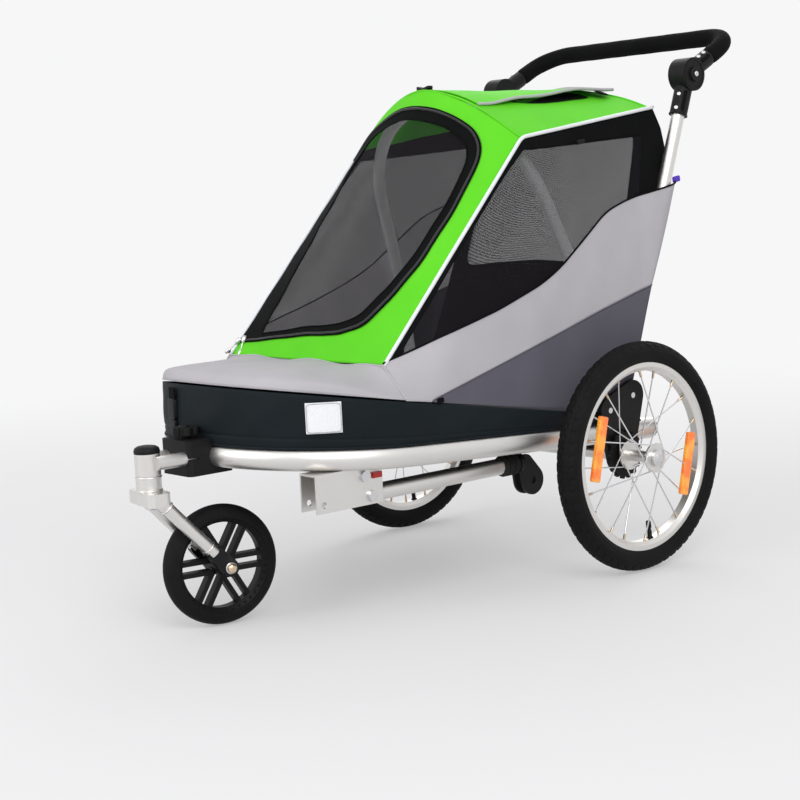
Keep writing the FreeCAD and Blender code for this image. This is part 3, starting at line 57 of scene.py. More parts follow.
# Studio: a pale floor that fades into a white surround, soft lamps and the photograph's camera.
# The camera was fitted to the wheels, the frame tube and the handle of the photograph.
class Wire:
    """One output socket of a shader tree: sums and products of wires add Math nodes."""

    def __init__(self, tree, socket=None):
        self.tree = tree
        self.socket = socket

    def new(self, kind, settings=None, sockets=None, out=0):
        """A node of that type: its settings first, then the values or wires of its sockets."""
        made = self.tree.nodes.new(kind)
        for key, value in (settings or {}).items():
            setattr(made, key, value)
        for key, value in (sockets or {}).items():
            if isinstance(value, Wire):
                self.tree.links.new(made.inputs[key], value.socket)
            else:
                made.inputs[key].default_value = value
        return Wire(self.tree, made.outputs[out])

    def maths(self, operation, *values):
        """A Math node on this wire and the values or wires that follow."""
        return self.new("ShaderNodeMath", {"operation": operation}, dict(enumerate((self,) + values)))

    def __add__(self, other):
        return self.maths("ADD", other)

    def __mul__(self, other):
        return self.maths("MULTIPLY", other)

    def __rsub__(self, other):
        return self * -1.0 + other

    def sine(self, turn):
        """The sine of this wire times so many radians."""
        return (self * turn).maths("SINE")

    def above(self, low, high):
        """A smooth step from 0 at low to 1 at high."""
        return self.new("ShaderNodeMapRange", {"interpolation_type": "SMOOTHSTEP"},
                        {"Value": self, "From Min": low, "From Max": high})

    def part(self, axis):
        """One of the three numbers of a vector."""
        return self.new("ShaderNodeSeparateXYZ", {}, {"Vector": self}, out=axis)

    def place(self, out="Object"):
        """The piece's own coordinates, or its UV map in metres of cloth."""
        return self.new("ShaderNodeTexCoord", out=out)

    def noise(self, scale, detail):
        """Soft noise over the piece's own coordinates."""
        return self.new("ShaderNodeTexNoise", {}, {"Vector": self.place(), "Scale": scale, "Detail": detail})

    def cells(self, scale, scatter=1.0, distance="EUCLIDEAN"):
        """Distance from the nearest of many points, on a square lattice where the scatter is 0."""
        return self.new("ShaderNodeTexVoronoi", {"distance": distance},
                        {"Vector": self.place(), "Scale": scale, "Randomness": scatter})

    def tint(self, share, first, last):
        """A colour between two, by a wire from 0 to 1."""
        return self.new("ShaderNodeMix", {"data_type": "RGBA"},
                        {0: share, 6: (*first, 1), 7: (*last, 1)}, out=2)

    def bump(self, height, strength, depth):
        """A normal leaned by a wire of heights."""
        return self.new("ShaderNodeBump", {}, {"Height": height, "Strength": strength, "Distance": depth})

    def backdrop_rays(self):
        """1 for the rays that see the white surround: those of the camera, of gloss and of glass."""
        camera, gloss, glass = (self.new("ShaderNodeLightPath", out=f"Is {ray} Ray")
                                for ray in ("Camera", "Glossy", "Transmission"))
        return (camera + gloss + glass).maths("MINIMUM", 1.0)


def finish(name, constants, shade):
    """A material whose shader has these constants and wires."""
    made = bpy.data.materials.new(name)
    made.use_nodes = True
    surface = made.node_tree.nodes["Principled BSDF"]
    for socket, value in constants.items():
        surface.inputs[socket].default_value = value
    for socket, wire in shade(Wire(made.node_tree)).items():
        made.node_tree.links.new(surface.inputs[socket], wire.socket)
    return made


def grid_faces(rows, columns, wrap_rows=False, wrap_columns=False):
    """Corner numbers of the quads of a grid of points, closed on itself where it wraps."""
    row = np.arange(rows if wrap_rows else rows - 1)[:, None]
    column = np.arange(columns if wrap_columns else columns - 1)[None, :]
    next_row = (row + 1) % rows
    next_column = (column + 1) % columns
    quads = [row * columns + column, row * columns + next_column,
             next_row * columns + next_column, next_row * columns + column]
    return np.stack(np.broadcast_arrays(*quads), axis=-1).reshape(-1, 4)


def smooth_piece(name, points, quads, uv=None):
    """An object of smooth quads, with a UV map in metres where uv is given.
    Points that fall together, at poles and seams, are joined."""
    mesh = bpy.data.meshes.new(name)
    mesh.from_pydata(points.reshape(-1, 3), [], quads)
    mesh.polygons.foreach_set("use_smooth", np.ones(len(quads), bool))
    if uv is not None:
        layer = mesh.uv_layers.new(name="cloth")
        layer.data.foreach_set("uv", uv.reshape(-1, 2)[quads.reshape(-1)].astype(np.float32).reshape(-1))
    weld = bmesh.new()
    weld.from_mesh(mesh)
    bmesh.ops.remove_doubles(weld, verts=weld.verts, dist=1e-6)
    weld.to_mesh(mesh)
    weld.free()
    made = bpy.data.objects.new(name, mesh)
    bpy.context.collection.objects.link(made)
    return made


def surface_mesh(name, points, wrap_rows=False, wrap_columns=False, uv=None, flip=False):
    """An object whose mesh is a grid of points."""
    quads = grid_faces(*points.shape[:2], wrap_rows, wrap_columns)
    return smooth_piece(name, points, quads[:, ::-1] if flip else quads, uv)


def circle(count, start=0.0):
    """Angles of a full turn, without the last, which is the first again."""
    return np.linspace(start, start + 2 * np.pi, count, endpoint=False)


def unit(ways):
    """Directions of length 1."""
    ways = np.asarray(ways, float)
    return ways / np.linalg.norm(ways, axis=-1, keepdims=True)


floor_radii = np.array([0.0, 0.6, 1.2, 1.8, 2.4, 3.2, 4.5, 7.0, 11.0])[:, None]
floor_turns = circle(48)[None]
floor_drop = 0.0005
floor_places = np.broadcast_arrays(floor_radii * np.cos(floor_turns), floor_radii * np.sin(floor_turns),
                                   0 * floor_radii - floor_drop)
floor = surface_mesh("studio_floor", np.stack(floor_places, axis=-1), wrap_columns=True)
paper = bpy.data.materials.new("studio_paper")
paper.use_nodes = True
paper_nodes = paper.node_tree.nodes
matt = paper_nodes["Principled BSDF"]
matt.inputs["Base Color"].default_value = (0.74, 0.74, 0.75, 1)
matt.inputs["Roughness"].default_value = 0.9
start = Wire(paper.node_tree)
spread = start.new("ShaderNodeVectorMath", {"operation": "LENGTH"}, {0: start.place()}, out="Value")
fade = spread.above(0.7, 3.4) * 0.62 + 0.38
glow = start.new("ShaderNodeEmission", {}, {"Color": (0.93, 0.93, 0.935, 1), "Strength": 1.0})
mixed = start.new("ShaderNodeMixShader", {}, {0: fade * start.backdrop_rays(),
                                              1: Wire(paper.node_tree, matt.outputs[0]), 2: glow})
paper.node_tree.links.new(paper_nodes["Material Output"].inputs["Surface"], mixed.socket)
floor.data.materials.append(paper)

world = bpy.data.worlds.new("studio")
world.use_nodes = True
bpy.context.scene.world = world
backdrop = world.node_tree.nodes["Background"]
backdrop.inputs["Color"].default_value = (1, 1, 1.01, 1)
sky_strength = Wire(world.node_tree).backdrop_rays() * 0.37 + 0.56
world.node_tree.links.new(backdrop.inputs["Strength"], sky_strength.socket)


def stood(name, data, across, up, back, spot):
    """A lamp or camera stood at a spot, looking against its back direction."""
    made = bpy.data.objects.new(name, data)
    made.matrix_world = Matrix(np.vstack([np.column_stack([across, up, back, spot]), (0, 0, 0, 1)]).tolist())
    bpy.context.collection.objects.link(made)
    return made


UP = np.array((0, 0, 1.0))
lamp_target = UP * 0.45
for name, spot, power, size in (("key_lamp", (1.6, 2.6, 2.7), 62, 2.2),
                                ("front_lamp", (3.2, -0.6, 1.9), 34, 2.0),
                                ("rear_lamp", (-2.4, -1.8, 2.6), 38, 2.4)):
    lamp = bpy.data.lights.new(name, "AREA")
    lamp.energy = power
    lamp.size = size
    back = unit(np.array(spot) - lamp_target)
    across = unit(np.cross(UP, back))
    stood(name, lamp, across, np.cross(back, across), back, spot)

lens = bpy.data.cameras.new("photo_camera")
lens.lens = 74.43
lens.sensor_width = 36
lens.shift_x = -0.033
lens.shift_y = -0.006
ahead = unit((-0.659, -0.742, -0.124))
across = np.array((-0.743, 0.668, -0.047))
across = unit(across - ahead * across.dot(ahead))
bpy.context.scene.camera = stood("photo_camera", lens, across, np.cross(across, ahead), -ahead,
                                 (1.9473, 2.188, 0.678))
bpy.context.scene.view_settings.view_transform = "Standard"


# Frame: the base tube, cross tube, axle beam, folding posts, bow, yoke, fork and tow arm.
# The tubes are aluminium, bent cold, blasted and clear anodised to a soft sheen; the bow is painted silver,
# and its finish also has a weak painted glow.
# Brackets are coated steel, the feet, sockets and clamp moulded nylon, and bolts and pins polished steel.
def mottled(name, dark, light, constants, drift, rough, grain=None, bump=None):
    """A finish that drifts between two colours with a noise, given by its scale and detail.
    The roughness is a base plus shares of the drift and of a finer grain; the bump has strength and depth."""
    def shade(wire):
        cloud = wire.noise(*drift)
        fine = wire.noise(*grain) if grain else cloud
        dull = cloud * rough[1] + rough[0]
        wires = {"Base Color": wire.tint(cloud, dark, light), "Roughness": dull}
        if len(rough) > 2:
            wires["Roughness"] = dull + fine * rough[2]
        if bump:
            wires["Normal"] = wire.bump(fine, *bump)
        return wires
    return finish(name, constants, shade)


def coated_steel(wire):
    """Black powder coat with an orange peel, greyer where it is rubbed."""
    peel = wire.noise(700, 1.0)
    worn = wire.noise(22, 6.0).above(0.62, 0.8)
    return {"Base Color": wire.tint(worn, (0.009, 0.009, 0.01), (0.024, 0.024, 0.026)),
            "Roughness": peel * 0.14 + worn * 0.1 + 0.34, "Normal": wire.bump(peel, 0.25, 0.0005)}


def coated(material, *names):
    """Gives CAD nodes a finish."""
    for name in names:
        nodes[name].data.materials.clear()
        nodes[name].data.materials.append(material)


satin_aluminium = mottled("satin_aluminium", (0.69, 0.675, 0.65), (0.79, 0.775, 0.75), {"Metallic": 1.0},
                          drift=(9, 3.0), rough=(0.27, 0.08, 0.12), grain=(420, 2.0), bump=(0.12, 0.0004))
# The bow's emission is painted light: a weak glow that brightens the tube in the cabin's shade.
silver_paint_painted_glow = mottled("silver_paint_painted_glow", (0.84, 0.84, 0.85), (0.95, 0.95, 0.96),
                       {"Metallic": 0.1, "Emission Color": (0.9, 0.9, 0.92, 1), "Emission Strength": 0.22},
                       drift=(12, 3.0), rough=(0.26, 0.0, 0.14), grain=(600, 2.0), bump=(0.1, 0.0004))
black_steel = finish("black_steel", {"Specular IOR Level": 0.18}, coated_steel)
black_plastic = mottled("black_plastic", (0.006, 0.006, 0.0065), (0.013, 0.013, 0.014),
                        {"Specular IOR Level": 0.15}, drift=(16, 3.0), rough=(0.36, 0.1, 0.16),
                        grain=(1500, 2.0), bump=(0.3, 0.0004))
polished_steel = mottled("polished_steel", (0.58, 0.58, 0.6), (0.75, 0.75, 0.76), {"Metallic": 1.0},
                         drift=(260, 4.0), rough=(0.2, 0.18), bump=(0.08, 0.0004))
coated(satin_aluminium, "base_frame", "rear_tube", "axle_beam", "posts", "caster_yoke", "caster_fork",
       "tow_tube", "tow_bracket")
coated(silver_paint_painted_glow, "bow_tube")
coated(black_steel, "wheel_brackets", "fork_tips", "hitch_coupler")
coated(black_plastic, "post_feet", "bow_feet", "handle_sockets", "handle_hubs", "left_release_button",
       "right_release_button", "caster_clamp", "head_cap", "star_knob", "caster_wheel", "left_brake_ring",
       "right_brake_ring", "handle_bar")
coated(polished_steel, "wheel_axles", "fold_pins", "handle_pins", "knob_stud", "stem_bolt", "tow_bolts",
       "left_bearings", "right_bearings", "caster_bearings")


# Rear wheels: 16 inch rims of satin aluminium, laced with bright spokes and brass-plated nipples.
# Each tyre is moulded rubber with a blocked tread and plain walls; bar reflectors clip on the spokes.
def box_middle(name):
    """The middle of a CAD node's box."""
    low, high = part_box(name)
    return (np.array(low) + np.array(high)) / 2


def placed(made, material, body, *stands_for, slot=None):
    """Gives a piece its material and body, and hides the CAD nodes that it stands for; the slot is not used.
    """
    made.data.materials.append(material)
    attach(made, body)
    if stands_for:
        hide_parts(*stands_for)
    return made


def step(value, low_edge, high_edge):
    """Smooth rise from 0 to 1 between two edges."""
    share = np.clip((value - low_edge) / (high_edge - low_edge), 0, 1)
    return share * share * (3 - 2 * share)


def band(value, inner, outer):
    """1 where a distance is inside the inner edge, falling smoothly to 0 at the outer one."""
    return 1 - step(value, inner, outer)


def tyre(name, centre, axis, crown, belly_depth, half_width, foot_turn, blocks, sink):
    """Turn about the axle by turn about the section: an ellipse round the belly circle, less a tread.
    The tread has a zigzag groove on the crown and slots across both shoulders, one for each block."""
    axis = unit(axis)
    ahead = np.cross(UP, axis)
    turn = circle(blocks * 10)[:, None]
    section = np.linspace(-foot_turn, foot_turn, 63)[None, :]
    beat = turn * blocks / (2 * np.pi)
    flank = np.abs(section)
    swing = np.sin(2 * np.pi * beat)
    groove = band(np.abs(section - 0.13 * np.sign(swing) * np.abs(swing) ** 0.5), 0.05, 0.1)
    rail = band(np.abs(flank - 0.52), 0.03, 0.07)
    slant = (beat + 0.5 * (section > 0) + 0.45 * flank) % 1
    shoulder_slot = band(np.abs(slant - 0.5), 0.1, 0.16) * step(flank, 0.5, 0.56) * band(flank, 1.0, 1.12)
    middle_slot = band(np.abs((beat * 2 + section) % 1 - 0.5), 0.08, 0.16) * step(flank, 0.2, 0.26)
    middle_slot = middle_slot * band(flank, 0.44, 0.5)
    sunk = sink * np.maximum.reduce([groove + 0 * turn, rail + 0 * turn, shoulder_slot, middle_slot * 0.7])
    ring = 0.0007 * (band(np.abs(flank - 1.45), 0.02, 0.05) + band(np.abs(flank - 1.9), 0.02, 0.05))
    out = ring - sunk
    radius = crown - belly_depth + (belly_depth + out) * np.cos(section)
    offset = (half_width + out) * np.sin(section) + 0 * turn
    spin = np.cos(turn)[..., None] * ahead + np.sin(turn)[..., None] * UP
    points = centre + radius[..., None] * spin + offset[..., None] * axis
    return surface_mesh(name, points, wrap_rows=True, wrap_columns=True, flip=True)


def amber_prisms(wire):
    """Rows of small prisms in clear amber, with random patches lightened as painted glint where they throw
    light back; the emission colour is a painted glow.
    """
    prisms = wire.cells(170.0, 0.0, "CHEBYCHEV")
    painted_glint = wire.noise(38, 2.0).above(0.4, 0.62)
    shade = (prisms * 1.5).maths("MINIMUM", 1.0) * 0.55 + (1.0 - painted_glint) * 0.45
    return {"Base Color": wire.tint(shade, (1.0, 0.5, 0.05), (0.85, 0.1, 0.004)),
            "Emission Color": wire.tint(shade, (1.0, 0.5, 0.04), (0.8, 0.06, 0.0)),
            "Roughness": painted_glint * 0.1 + 0.12, "Normal": wire.bump(prisms, 0.6, 0.002)}


def turned_set(name, outline, feet, ways, sides):
    """Like bodies turned about their axes: an outline of radius and height, set at each foot along its way.
    An outline that doesn't close on itself is run in to the axis at both ends."""
    outline = np.asarray(outline, float)
    if not np.allclose(outline[0], outline[-1]):
        outline = np.concatenate([outline[:1] * (0, 1), outline, outline[-1:] * (0, 1)])
    feet = np.atleast_2d(np.asarray(feet, float))
    ways = unit(np.atleast_2d(np.asarray(ways, float)) + np.zeros_like(feet))
    helper = np.where(np.abs(ways[:, 2:]) > 0.9, (1.0, 0, 0), (0, 0, 1.0))
    first = unit(np.cross(helper, ways))
    second = np.cross(ways, first)
    turn = circle(sides)[None, :, None]
    spin = np.cos(turn) * first[:, None] + np.sin(turn) * second[:, None]
    points = (feet[:, None, None] + outline[None, :, None, :1] * spin[:, None]
              + outline[None, :, None, 1:] * ways[:, None, None])
    quads = grid_faces(len(outline), sides, wrap_columns=True)
    first_corner = np.arange(len(feet))[:, None, None] * len(outline) * sides
    return smooth_piece(name, points, (quads[None] + first_corner).reshape(-1, 4))


tyre_rubber = mottled("tyre_rubber", (0.004, 0.004, 0.0045), (0.015, 0.015, 0.0155),
                      {"Specular IOR Level": 0.09}, drift=(26, 5.0), rough=(0.55, 0.22),
                      grain=(1300, 2.0), bump=(0.25, 0.0004))
# The reflectors' emission is a painted glow: they shine a little though they are no lamp.
amber_plastic = finish("amber_plastic", {"Coat Weight": 0.7, "Coat Roughness": 0.06,
                                         "Emission Strength": 0.3}, amber_prisms)
chromed_steel = mottled("chromed_steel", (0.62, 0.62, 0.63), (0.78, 0.78, 0.79), {"Metallic": 1.0},
                        drift=(300, 2.0), rough=(0.18, 0.14))
brass_bolt = mottled("brass_bolt", (0.6, 0.46, 0.31), (0.76, 0.63, 0.48), {"Metallic": 1.0},
                     drift=(90, 4.0), rough=(0.22, 0.2))

SIDES = (("left", 1), ("right", -1))
REAR_TYRE = (0.2, 0.0205, 0.0215, 2.48, 60, 0.0019)
NIPPLE = ((0, -0.001), (0.0026, -0.001), (0.0026, 0.003), (0.0021, 0.0035), (0.0021, 0.012), (0.0013, 0.013))
VALVE = ((0, -0.002), (0.006, -0.002), (0.006, 0.001), (0.0042, 0.002), (0.004, 0.014), (0.0032, 0.015),
         (0.0032, 0.018), (0.0046, 0.0185), (0.0046, 0.029), (0.0036, 0.031), (0, 0.0312))
axle_x = box_middle("left_hub")[0]
wheel_y = box_middle("left_tyre")[1]
wheel_z = box_middle("left_rim")[2]
flange_radius = 0.022
nipple_radius = 0.1503
valve_foot = 0.149
valve_way = unit((0.13, 0, 1.0))
flange_spokes = 10
spoke_turn = 2 * np.pi / flange_spokes
index = np.tile(np.arange(flange_spokes), 2)
flange = np.repeat((0, 1), flange_spokes)
lean = np.where(index % 2, 1, -1)
hub_turn = index * spoke_turn + flange * spoke_turn / 2
rim_turn = hub_turn + lean * 2 * spoke_turn
for side_name, side in SIDES:
    body = side_name + "_wheel"
    hub = np.array((axle_x, wheel_y * side, wheel_z))
    placed(tyre(side_name + "_tread", hub, (0, side, 0), *REAR_TYRE), tyre_rubber, body, side_name + "_tyre")
    coated(satin_aluminium, side_name + "_rim", side_name + "_hub")
    coated(chromed_steel, side_name + "_spokes")
    coated(amber_plastic, side_name + "_reflectors")
    hub_end = np.stack([flange_radius * np.cos(hub_turn),
                        (0.005 + 0.0575 * (flange - 0.5) + 0.0027 * lean) * side,
                        -flange_radius * np.sin(hub_turn) * side], axis=1)
    rim_end = np.stack([nipple_radius * np.cos(rim_turn), 0.00675 * (flange - 0.5) * side,
                        -nipple_radius * np.sin(rim_turn) * side], axis=1)
    placed(turned_set(side_name + "_nipples", NIPPLE, rim_end + hub, hub_end - rim_end, 8), brass_bolt, body)
    placed(turned_set(side_name + "_valve", VALVE, hub - valve_way * valve_foot, valve_way, 16),
           black_plastic, body)


# Front wheel: a moulded nylon centre with a smooth solid tyre, on a plated bolt between the fork's tips.
# The fork's legs and the yoke's tubes are welded to the head, and each joint shows its bead.
def joint_named(name):
    """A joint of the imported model."""
    return next(joint for joint in frame["joints"] if joint["name"] == name)


def bead(radius, thickness):
    """Outline of a weld bead round a tube: a small circle about the tube's wall."""
    turn = np.linspace(0, 2 * np.pi, 9)
    return np.stack([radius + thickness * np.cos(turn), thickness * np.sin(turn)], axis=1)


FRONT_TYRE = (0.0974, 0.0195, 0.0205, 1.62, 24, 0.0)
RIM_CUP = ((0.0026, -0.0006), (0.0026, 0.001), (0.002, 0.0014), (0.0013, 0.0008), (0, 0.0005))
BOLT_DOME = ((0.0078, -0.0008), (0.0078, 0.0006), (0.0066, 0.0024), (0.0044, 0.0036), (0.002, 0.0041),
             (0, 0.0042))
WASHER = ((0.0095, -0.0004), (0.0095, 0.001), (0.008, 0.0013))
HEAD_CAP = ((0.0202, -0.002), (0.0206, 0.002), (0.019, 0.0065), (0.0145, 0.0092), (0.008, 0.0104),
            (0, 0.0108))
KNOB_BOSS = ((0.0085, -0.002), (0.0085, 0.0014), (0.0075, 0.0026), (0.004, 0.0031), (0, 0.0032))
front_hub = np.array(joint_named("front_wheel_spin")["pos_m"])
front_axis = np.array(joint_named("front_wheel_spin")["axis"], float)
head = np.array(joint_named("caster_swivel")["pos_m"]) * (1, 1, 0)
crown_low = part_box("caster_fork")[1].z - 0.045
placed(tyre("front_tread", front_hub, front_axis, *FRONT_TYRE), tyre_rubber, "front_wheel", "caster_tyre")
coated(brass_bolt, "caster_axle")
turns = circle(40)[:, None]
cup_ring = 0.0742 * (np.cos(turns) * np.cross(front_axis, UP) + np.sin(turns) * UP)
for side_name, side in SIDES:
    out = front_axis * side
    placed(turned_set("front_rim_cups_" + side_name, RIM_CUP, front_hub + cup_ring + out * 0.0129, out, 8),
           black_plastic, "front_wheel")
    placed(turned_set("front_bolt_dome_" + side_name, BOLT_DOME, front_hub + out * 0.046, out, 24),
           brass_bolt, "fork")
    placed(turned_set("front_bolt_washer_" + side_name, WASHER, front_hub + out * 0.041, out, 24),
           polished_steel, "fork")
for side_name, side in SIDES:
    leg_out = front_axis * side * 0.034
    leg_top = head + UP * (crown_low + 0.0105) + leg_out
    leg_foot = front_hub + leg_out
    leg_way = unit(leg_foot - leg_top)
    placed(turned_set("fork_weld_" + side_name, bead(0.0105, 0.0018), leg_top + leg_way * 0.019, leg_way, 24),
           satin_aluminium, "fork")
    placed(turned_set("fork_leg_cuff_" + side_name, bead(0.0106, 0.0012), leg_foot - leg_way * 0.05,
                      leg_way, 24), satin_aluminium, "fork")
weld_heights = np.array((crown_low + 0.0225, crown_low + 0.0432))[:, None]
placed(turned_set("head_welds", bead(0.02, 0.0014), head + UP * weld_heights, UP, 32),
       satin_aluminium, "fork")
cap_foot = (box_middle("head_cap")[0], 0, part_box("head_cap")[0].z)
placed(turned_set("head_cap_dome", HEAD_CAP, cap_foot, UP, 32), black_plastic, "chassis", "head_cap")
thread = np.arange(0, 0.0125, 0.00045)
ridge = np.where(np.arange(len(thread)) % 2, 0.0044, 0.0036)
thread_foot = (box_middle("knob_stud")[0], 0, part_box("star_knob")[0].z - 0.012)
placed(turned_set("knob_thread", np.stack([ridge, thread], axis=1), thread_foot, UP, 16),
       chromed_steel, "knob")
boss_foot = (*box_middle("star_knob")[:2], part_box("star_knob")[1].z)
placed(turned_set("knob_boss", KNOB_BOSS, boss_foot, UP, 24), black_plastic, "knob")


# Push handle: a bent tube under a thick foam grip, turning on round hinge discs at the top of the posts.
# Discs, post sockets and arm sleeves are moulded nylon, screwed together, each with a slot in its side.
def swept(name, route, radius, lean, sides, closed=False):
    """A tube: a circle of the radius at each point, square to the route, its first side square to the lean.
    A tube that isn't closed on itself is run in to a point at both ends."""
    route = np.asarray(route, float)
    radius = np.zeros(len(route)) + radius
    if closed:
        tangent = np.roll(route, -1, axis=0) - np.roll(route, 1, axis=0)
    else:
        tangent = np.pad(np.gradient(route, axis=0), ((1, 1), (0, 0)), mode="edge")
        route = np.pad(route, ((1, 1), (0, 0)), mode="edge")
        radius = np.pad(radius, 1)
    tangent = unit(tangent)
    first = unit(np.cross(np.asarray(lean, float) + np.zeros_like(tangent), tangent))
    second = np.cross(tangent, first)
    turn = circle(sides)[None, :, None]
    ring = np.cos(turn) * first[:, None] + np.sin(turn) * second[:, None]
    points = route[:, None] + radius[:, None, None] * ring
    return surface_mesh(name, points, wrap_rows=closed, wrap_columns=True)


def travel(points, way=0):
    """Summed distances from 0 between neighbours, along a route or one way of a grid."""
    gaps = np.linalg.norm(np.diff(points, axis=way), axis=-1)
    return np.concatenate([np.zeros_like(np.take(gaps, [0], axis=way)), np.cumsum(gaps, axis=way)], axis=way)


def foam_skin(wire):
    """Closed-cell foam: fine pores, smoother where hands rub it."""
    rub = wire.noise(14, 4.0)
    return {"Base Color": wire.tint(rub, (0.0035, 0.0035, 0.0038), (0.011, 0.011, 0.0115)),
            "Roughness": rub * 0.16 + 0.72, "Normal": wire.bump(wire.cells(900.0), 0.5, 0.0006)}


foam = finish("foam", {"Specular IOR Level": 0.05}, foam_skin)
LEFT = np.array((0, 1.0, 0))
post_y = 0.241
arm_lean = np.radians(27.5)
arm_way = np.array((-np.cos(arm_lean), 0, np.sin(arm_lean)))
arm_length = 0.163
hinge = np.array((axle_x - 0.241, post_y, 0.86))
grip_corner = 0.062
near_run = hinge + arm_way * np.linspace(0.0703, arm_length - grip_corner, 8)[:, None]
quarter = np.linspace(0, np.pi / 2, 15)[:, None]
bend_centre = hinge + arm_way * (arm_length - grip_corner) - LEFT * grip_corner
near_bend = bend_centre + grip_corner * (np.sin(quarter) * arm_way + np.cos(quarter) * LEFT)
to_middle = near_bend[-1] * (1, 0, 1) + LEFT * np.linspace(post_y - grip_corner, 0, 12)[1:, None]
half_grip = np.concatenate([near_run[:-1], near_bend, to_middle])
grip_route = np.concatenate([half_grip, half_grip[-2::-1] * (1, -1, 1)])
travelled = travel(grip_route)
to_end = np.minimum(travelled, travelled[-1] - travelled)
grip_radius = 0.0128 + 0.0034 * np.sqrt(step(to_end, -0.004, 0.012)) + 0.0002 * np.sin(travelled * 95)
grip = swept("foam_grip", grip_route, grip_radius, np.cross(arm_way, LEFT), 28)
placed(grip, foam, "handle", "handle_grip")

SCREW = ((0.0041, -0.0012), (0.004, 0.0009), (0.0031, 0.0019), (0.0014, 0.0021), (0.0012, 0.0016),
         (0, 0.0016))
RIVET = ((0.005, -0.001), (0.005, 0.0006), (0.0042, 0.0016), (0.002, 0.0023), (0, 0.0024))
SLOT_PIT = np.array(((0, 0.01615), (0.25, 0.01615), (0.5, 0.01615), (0.75, 0.01615), (1, 0.01615),
                     (1, 0.0156), (0.5, 0.0156), (0, 0.0156)))
post_way = unit(hinge - (axle_x - 0.034, post_y, 0.3))
slot_half = 0.0042
wall_radius = 0.016


def on_wall(way, face, along, turn, radius):
    """Points on a round socket: so far along it from the hinge, turned so far from the face, at a radius."""
    return (hinge + way * along[..., None] + np.asarray(radius)[..., None] * (
        np.cos(turn)[..., None] * face + np.sin(turn)[..., None] * np.cross(way, face)))


for side_name, side in SIDES:
    mirror = np.array((1, side, 1))
    for part, way, body, slot_start, slot_length, far_screw in (
            ("socket", -post_way, "rear_frame", 0.038, 0.03, 0.068),
            ("sleeve", arm_way, "handle", 0.036, 0.022, 0.058)):
        name = f"{side_name}_{part}"
        front = np.cross(way, LEFT)
        front = front if front[0] > 0 else -front
        face = LEFT * np.cos(0.5) + front * np.sin(0.5)
        turn = circle(48)
        along = np.sign(np.cos(turn)) * slot_length / 2 + slot_half * np.cos(turn)
        around = slot_half * np.sin(turn) / wall_radius
        middle = slot_start + slot_length / 2
        rim_points = on_wall(way, face, middle + along, around, 0.0161)
        placed(swept(name + "_slot_rim", rim_points * mirror, 0.0009, face * mirror, 8, closed=True),
               black_plastic, body)
        # The slot's pit is black plastic but takes the darker, duller foam finish: painted shade in the
        # recess.
        inner = SLOT_PIT[:, :1]
        pit_points = on_wall(way, face, middle + along * inner, around * inner, SLOT_PIT[:, 1:])
        placed(surface_mesh(name + "_slot", pit_points * mirror, wrap_columns=True, flip=side < 0),
               foam, body, slot="black_plastic")
        edge = LEFT * np.cos(1.25) + front * np.sin(1.25)
        spots = hinge + way * np.array((0.042, far_screw))[:, None] + edge * 0.0155
        placed(turned_set(name + "_screws", SCREW, spots * mirror, edge * mirror, 16), polished_steel, body)
    placed(turned_set(side_name + "_socket_collar", bead(0.0158, 0.0016),
                      (hinge - post_way * 0.0765) * mirror, post_way * mirror, 32),
           black_plastic, "rear_frame")
    placed(turned_set(side_name + "_disc_ring", bead(0.0262, 0.0012), (hinge + LEFT * 0.018) * mirror,
                      LEFT * side, 48), black_plastic, "handle")
    low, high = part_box(side_name + "_release_button")
    rivet_foot = (hinge[0], high.y if side > 0 else low.y, hinge[2])
    placed(turned_set(side_name + "_button_rivet", RIVET, rivet_foot, LEFT * side, 24), polished_steel,
           side_name + "_button")


# Tow arm: an aluminium tube folded back under the frame, a rubber joint and a steel coupler at its end.
# It turns on a bolt through an inverted steel channel under the frame's front curve; a red clip locks it.
rubber = mottled("rubber", (0.013, 0.013, 0.013), (0.034, 0.033, 0.032), {"Specular IOR Level": 0.18},
                 drift=(34, 5.0), rough=(0.6, 0.2), grain=(900, 2.0), bump=(0.3, 0.0005))
red_plastic = mottled("red_plastic", (0.42, 0.012, 0.012), (0.6, 0.025, 0.02), {},
                      drift=(40, 3.0), rough=(0.3, 0.15))
coated(rubber, "hitch_bumper")
coated(red_plastic, "tow_clip")
low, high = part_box("hitch_bumper")
rib_x = np.linspace(low.x + 0.006, high.x - 0.006, 5)[:, None]
AHEAD = np.array((1.0, 0, 0))
rib_spots = box_middle("hitch_bumper") * (0, 1, 1) + rib_x * AHEAD
placed(turned_set("hitch_ribs", bead(0.0169, 0.0016), rib_spots, AHEAD, 32), rubber, "tow_arm")


# Floor: a coated black sheet laced inside the base tube, sagging a little between its edges.
# It is cut to the frame's D plan and sewn over at its rim; the cabin's cloth is sewn to the same rim.
PITCH = np.tan(np.radians(3.2))
SKIRT_RISE = 0.084 / 0.762
DECK_HEIGHT = 0.238
NOSE_START = 0.46
NOSE_FLAT = 0.02
cabin_middle = np.array((axle_x + 0.2, 0, 0.3))


def deck(x):
    """Height of the frame tube's axis at a station ahead of the axle."""
    return DECK_HEIGHT + x * PITCH


def grid_area(points):
    """Area of a grid of quads: half the cross product of each quad's diagonals."""
    first = points[1:, 1:] - points[:-1, :-1]
    second = points[1:, :-1] - points[:-1, 1:]
    return np.linalg.norm(np.cross(first, second), axis=-1).sum() / 2


def folds_up(made):
    """Gives the piece its own copy of its mesh."""
    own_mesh(made)


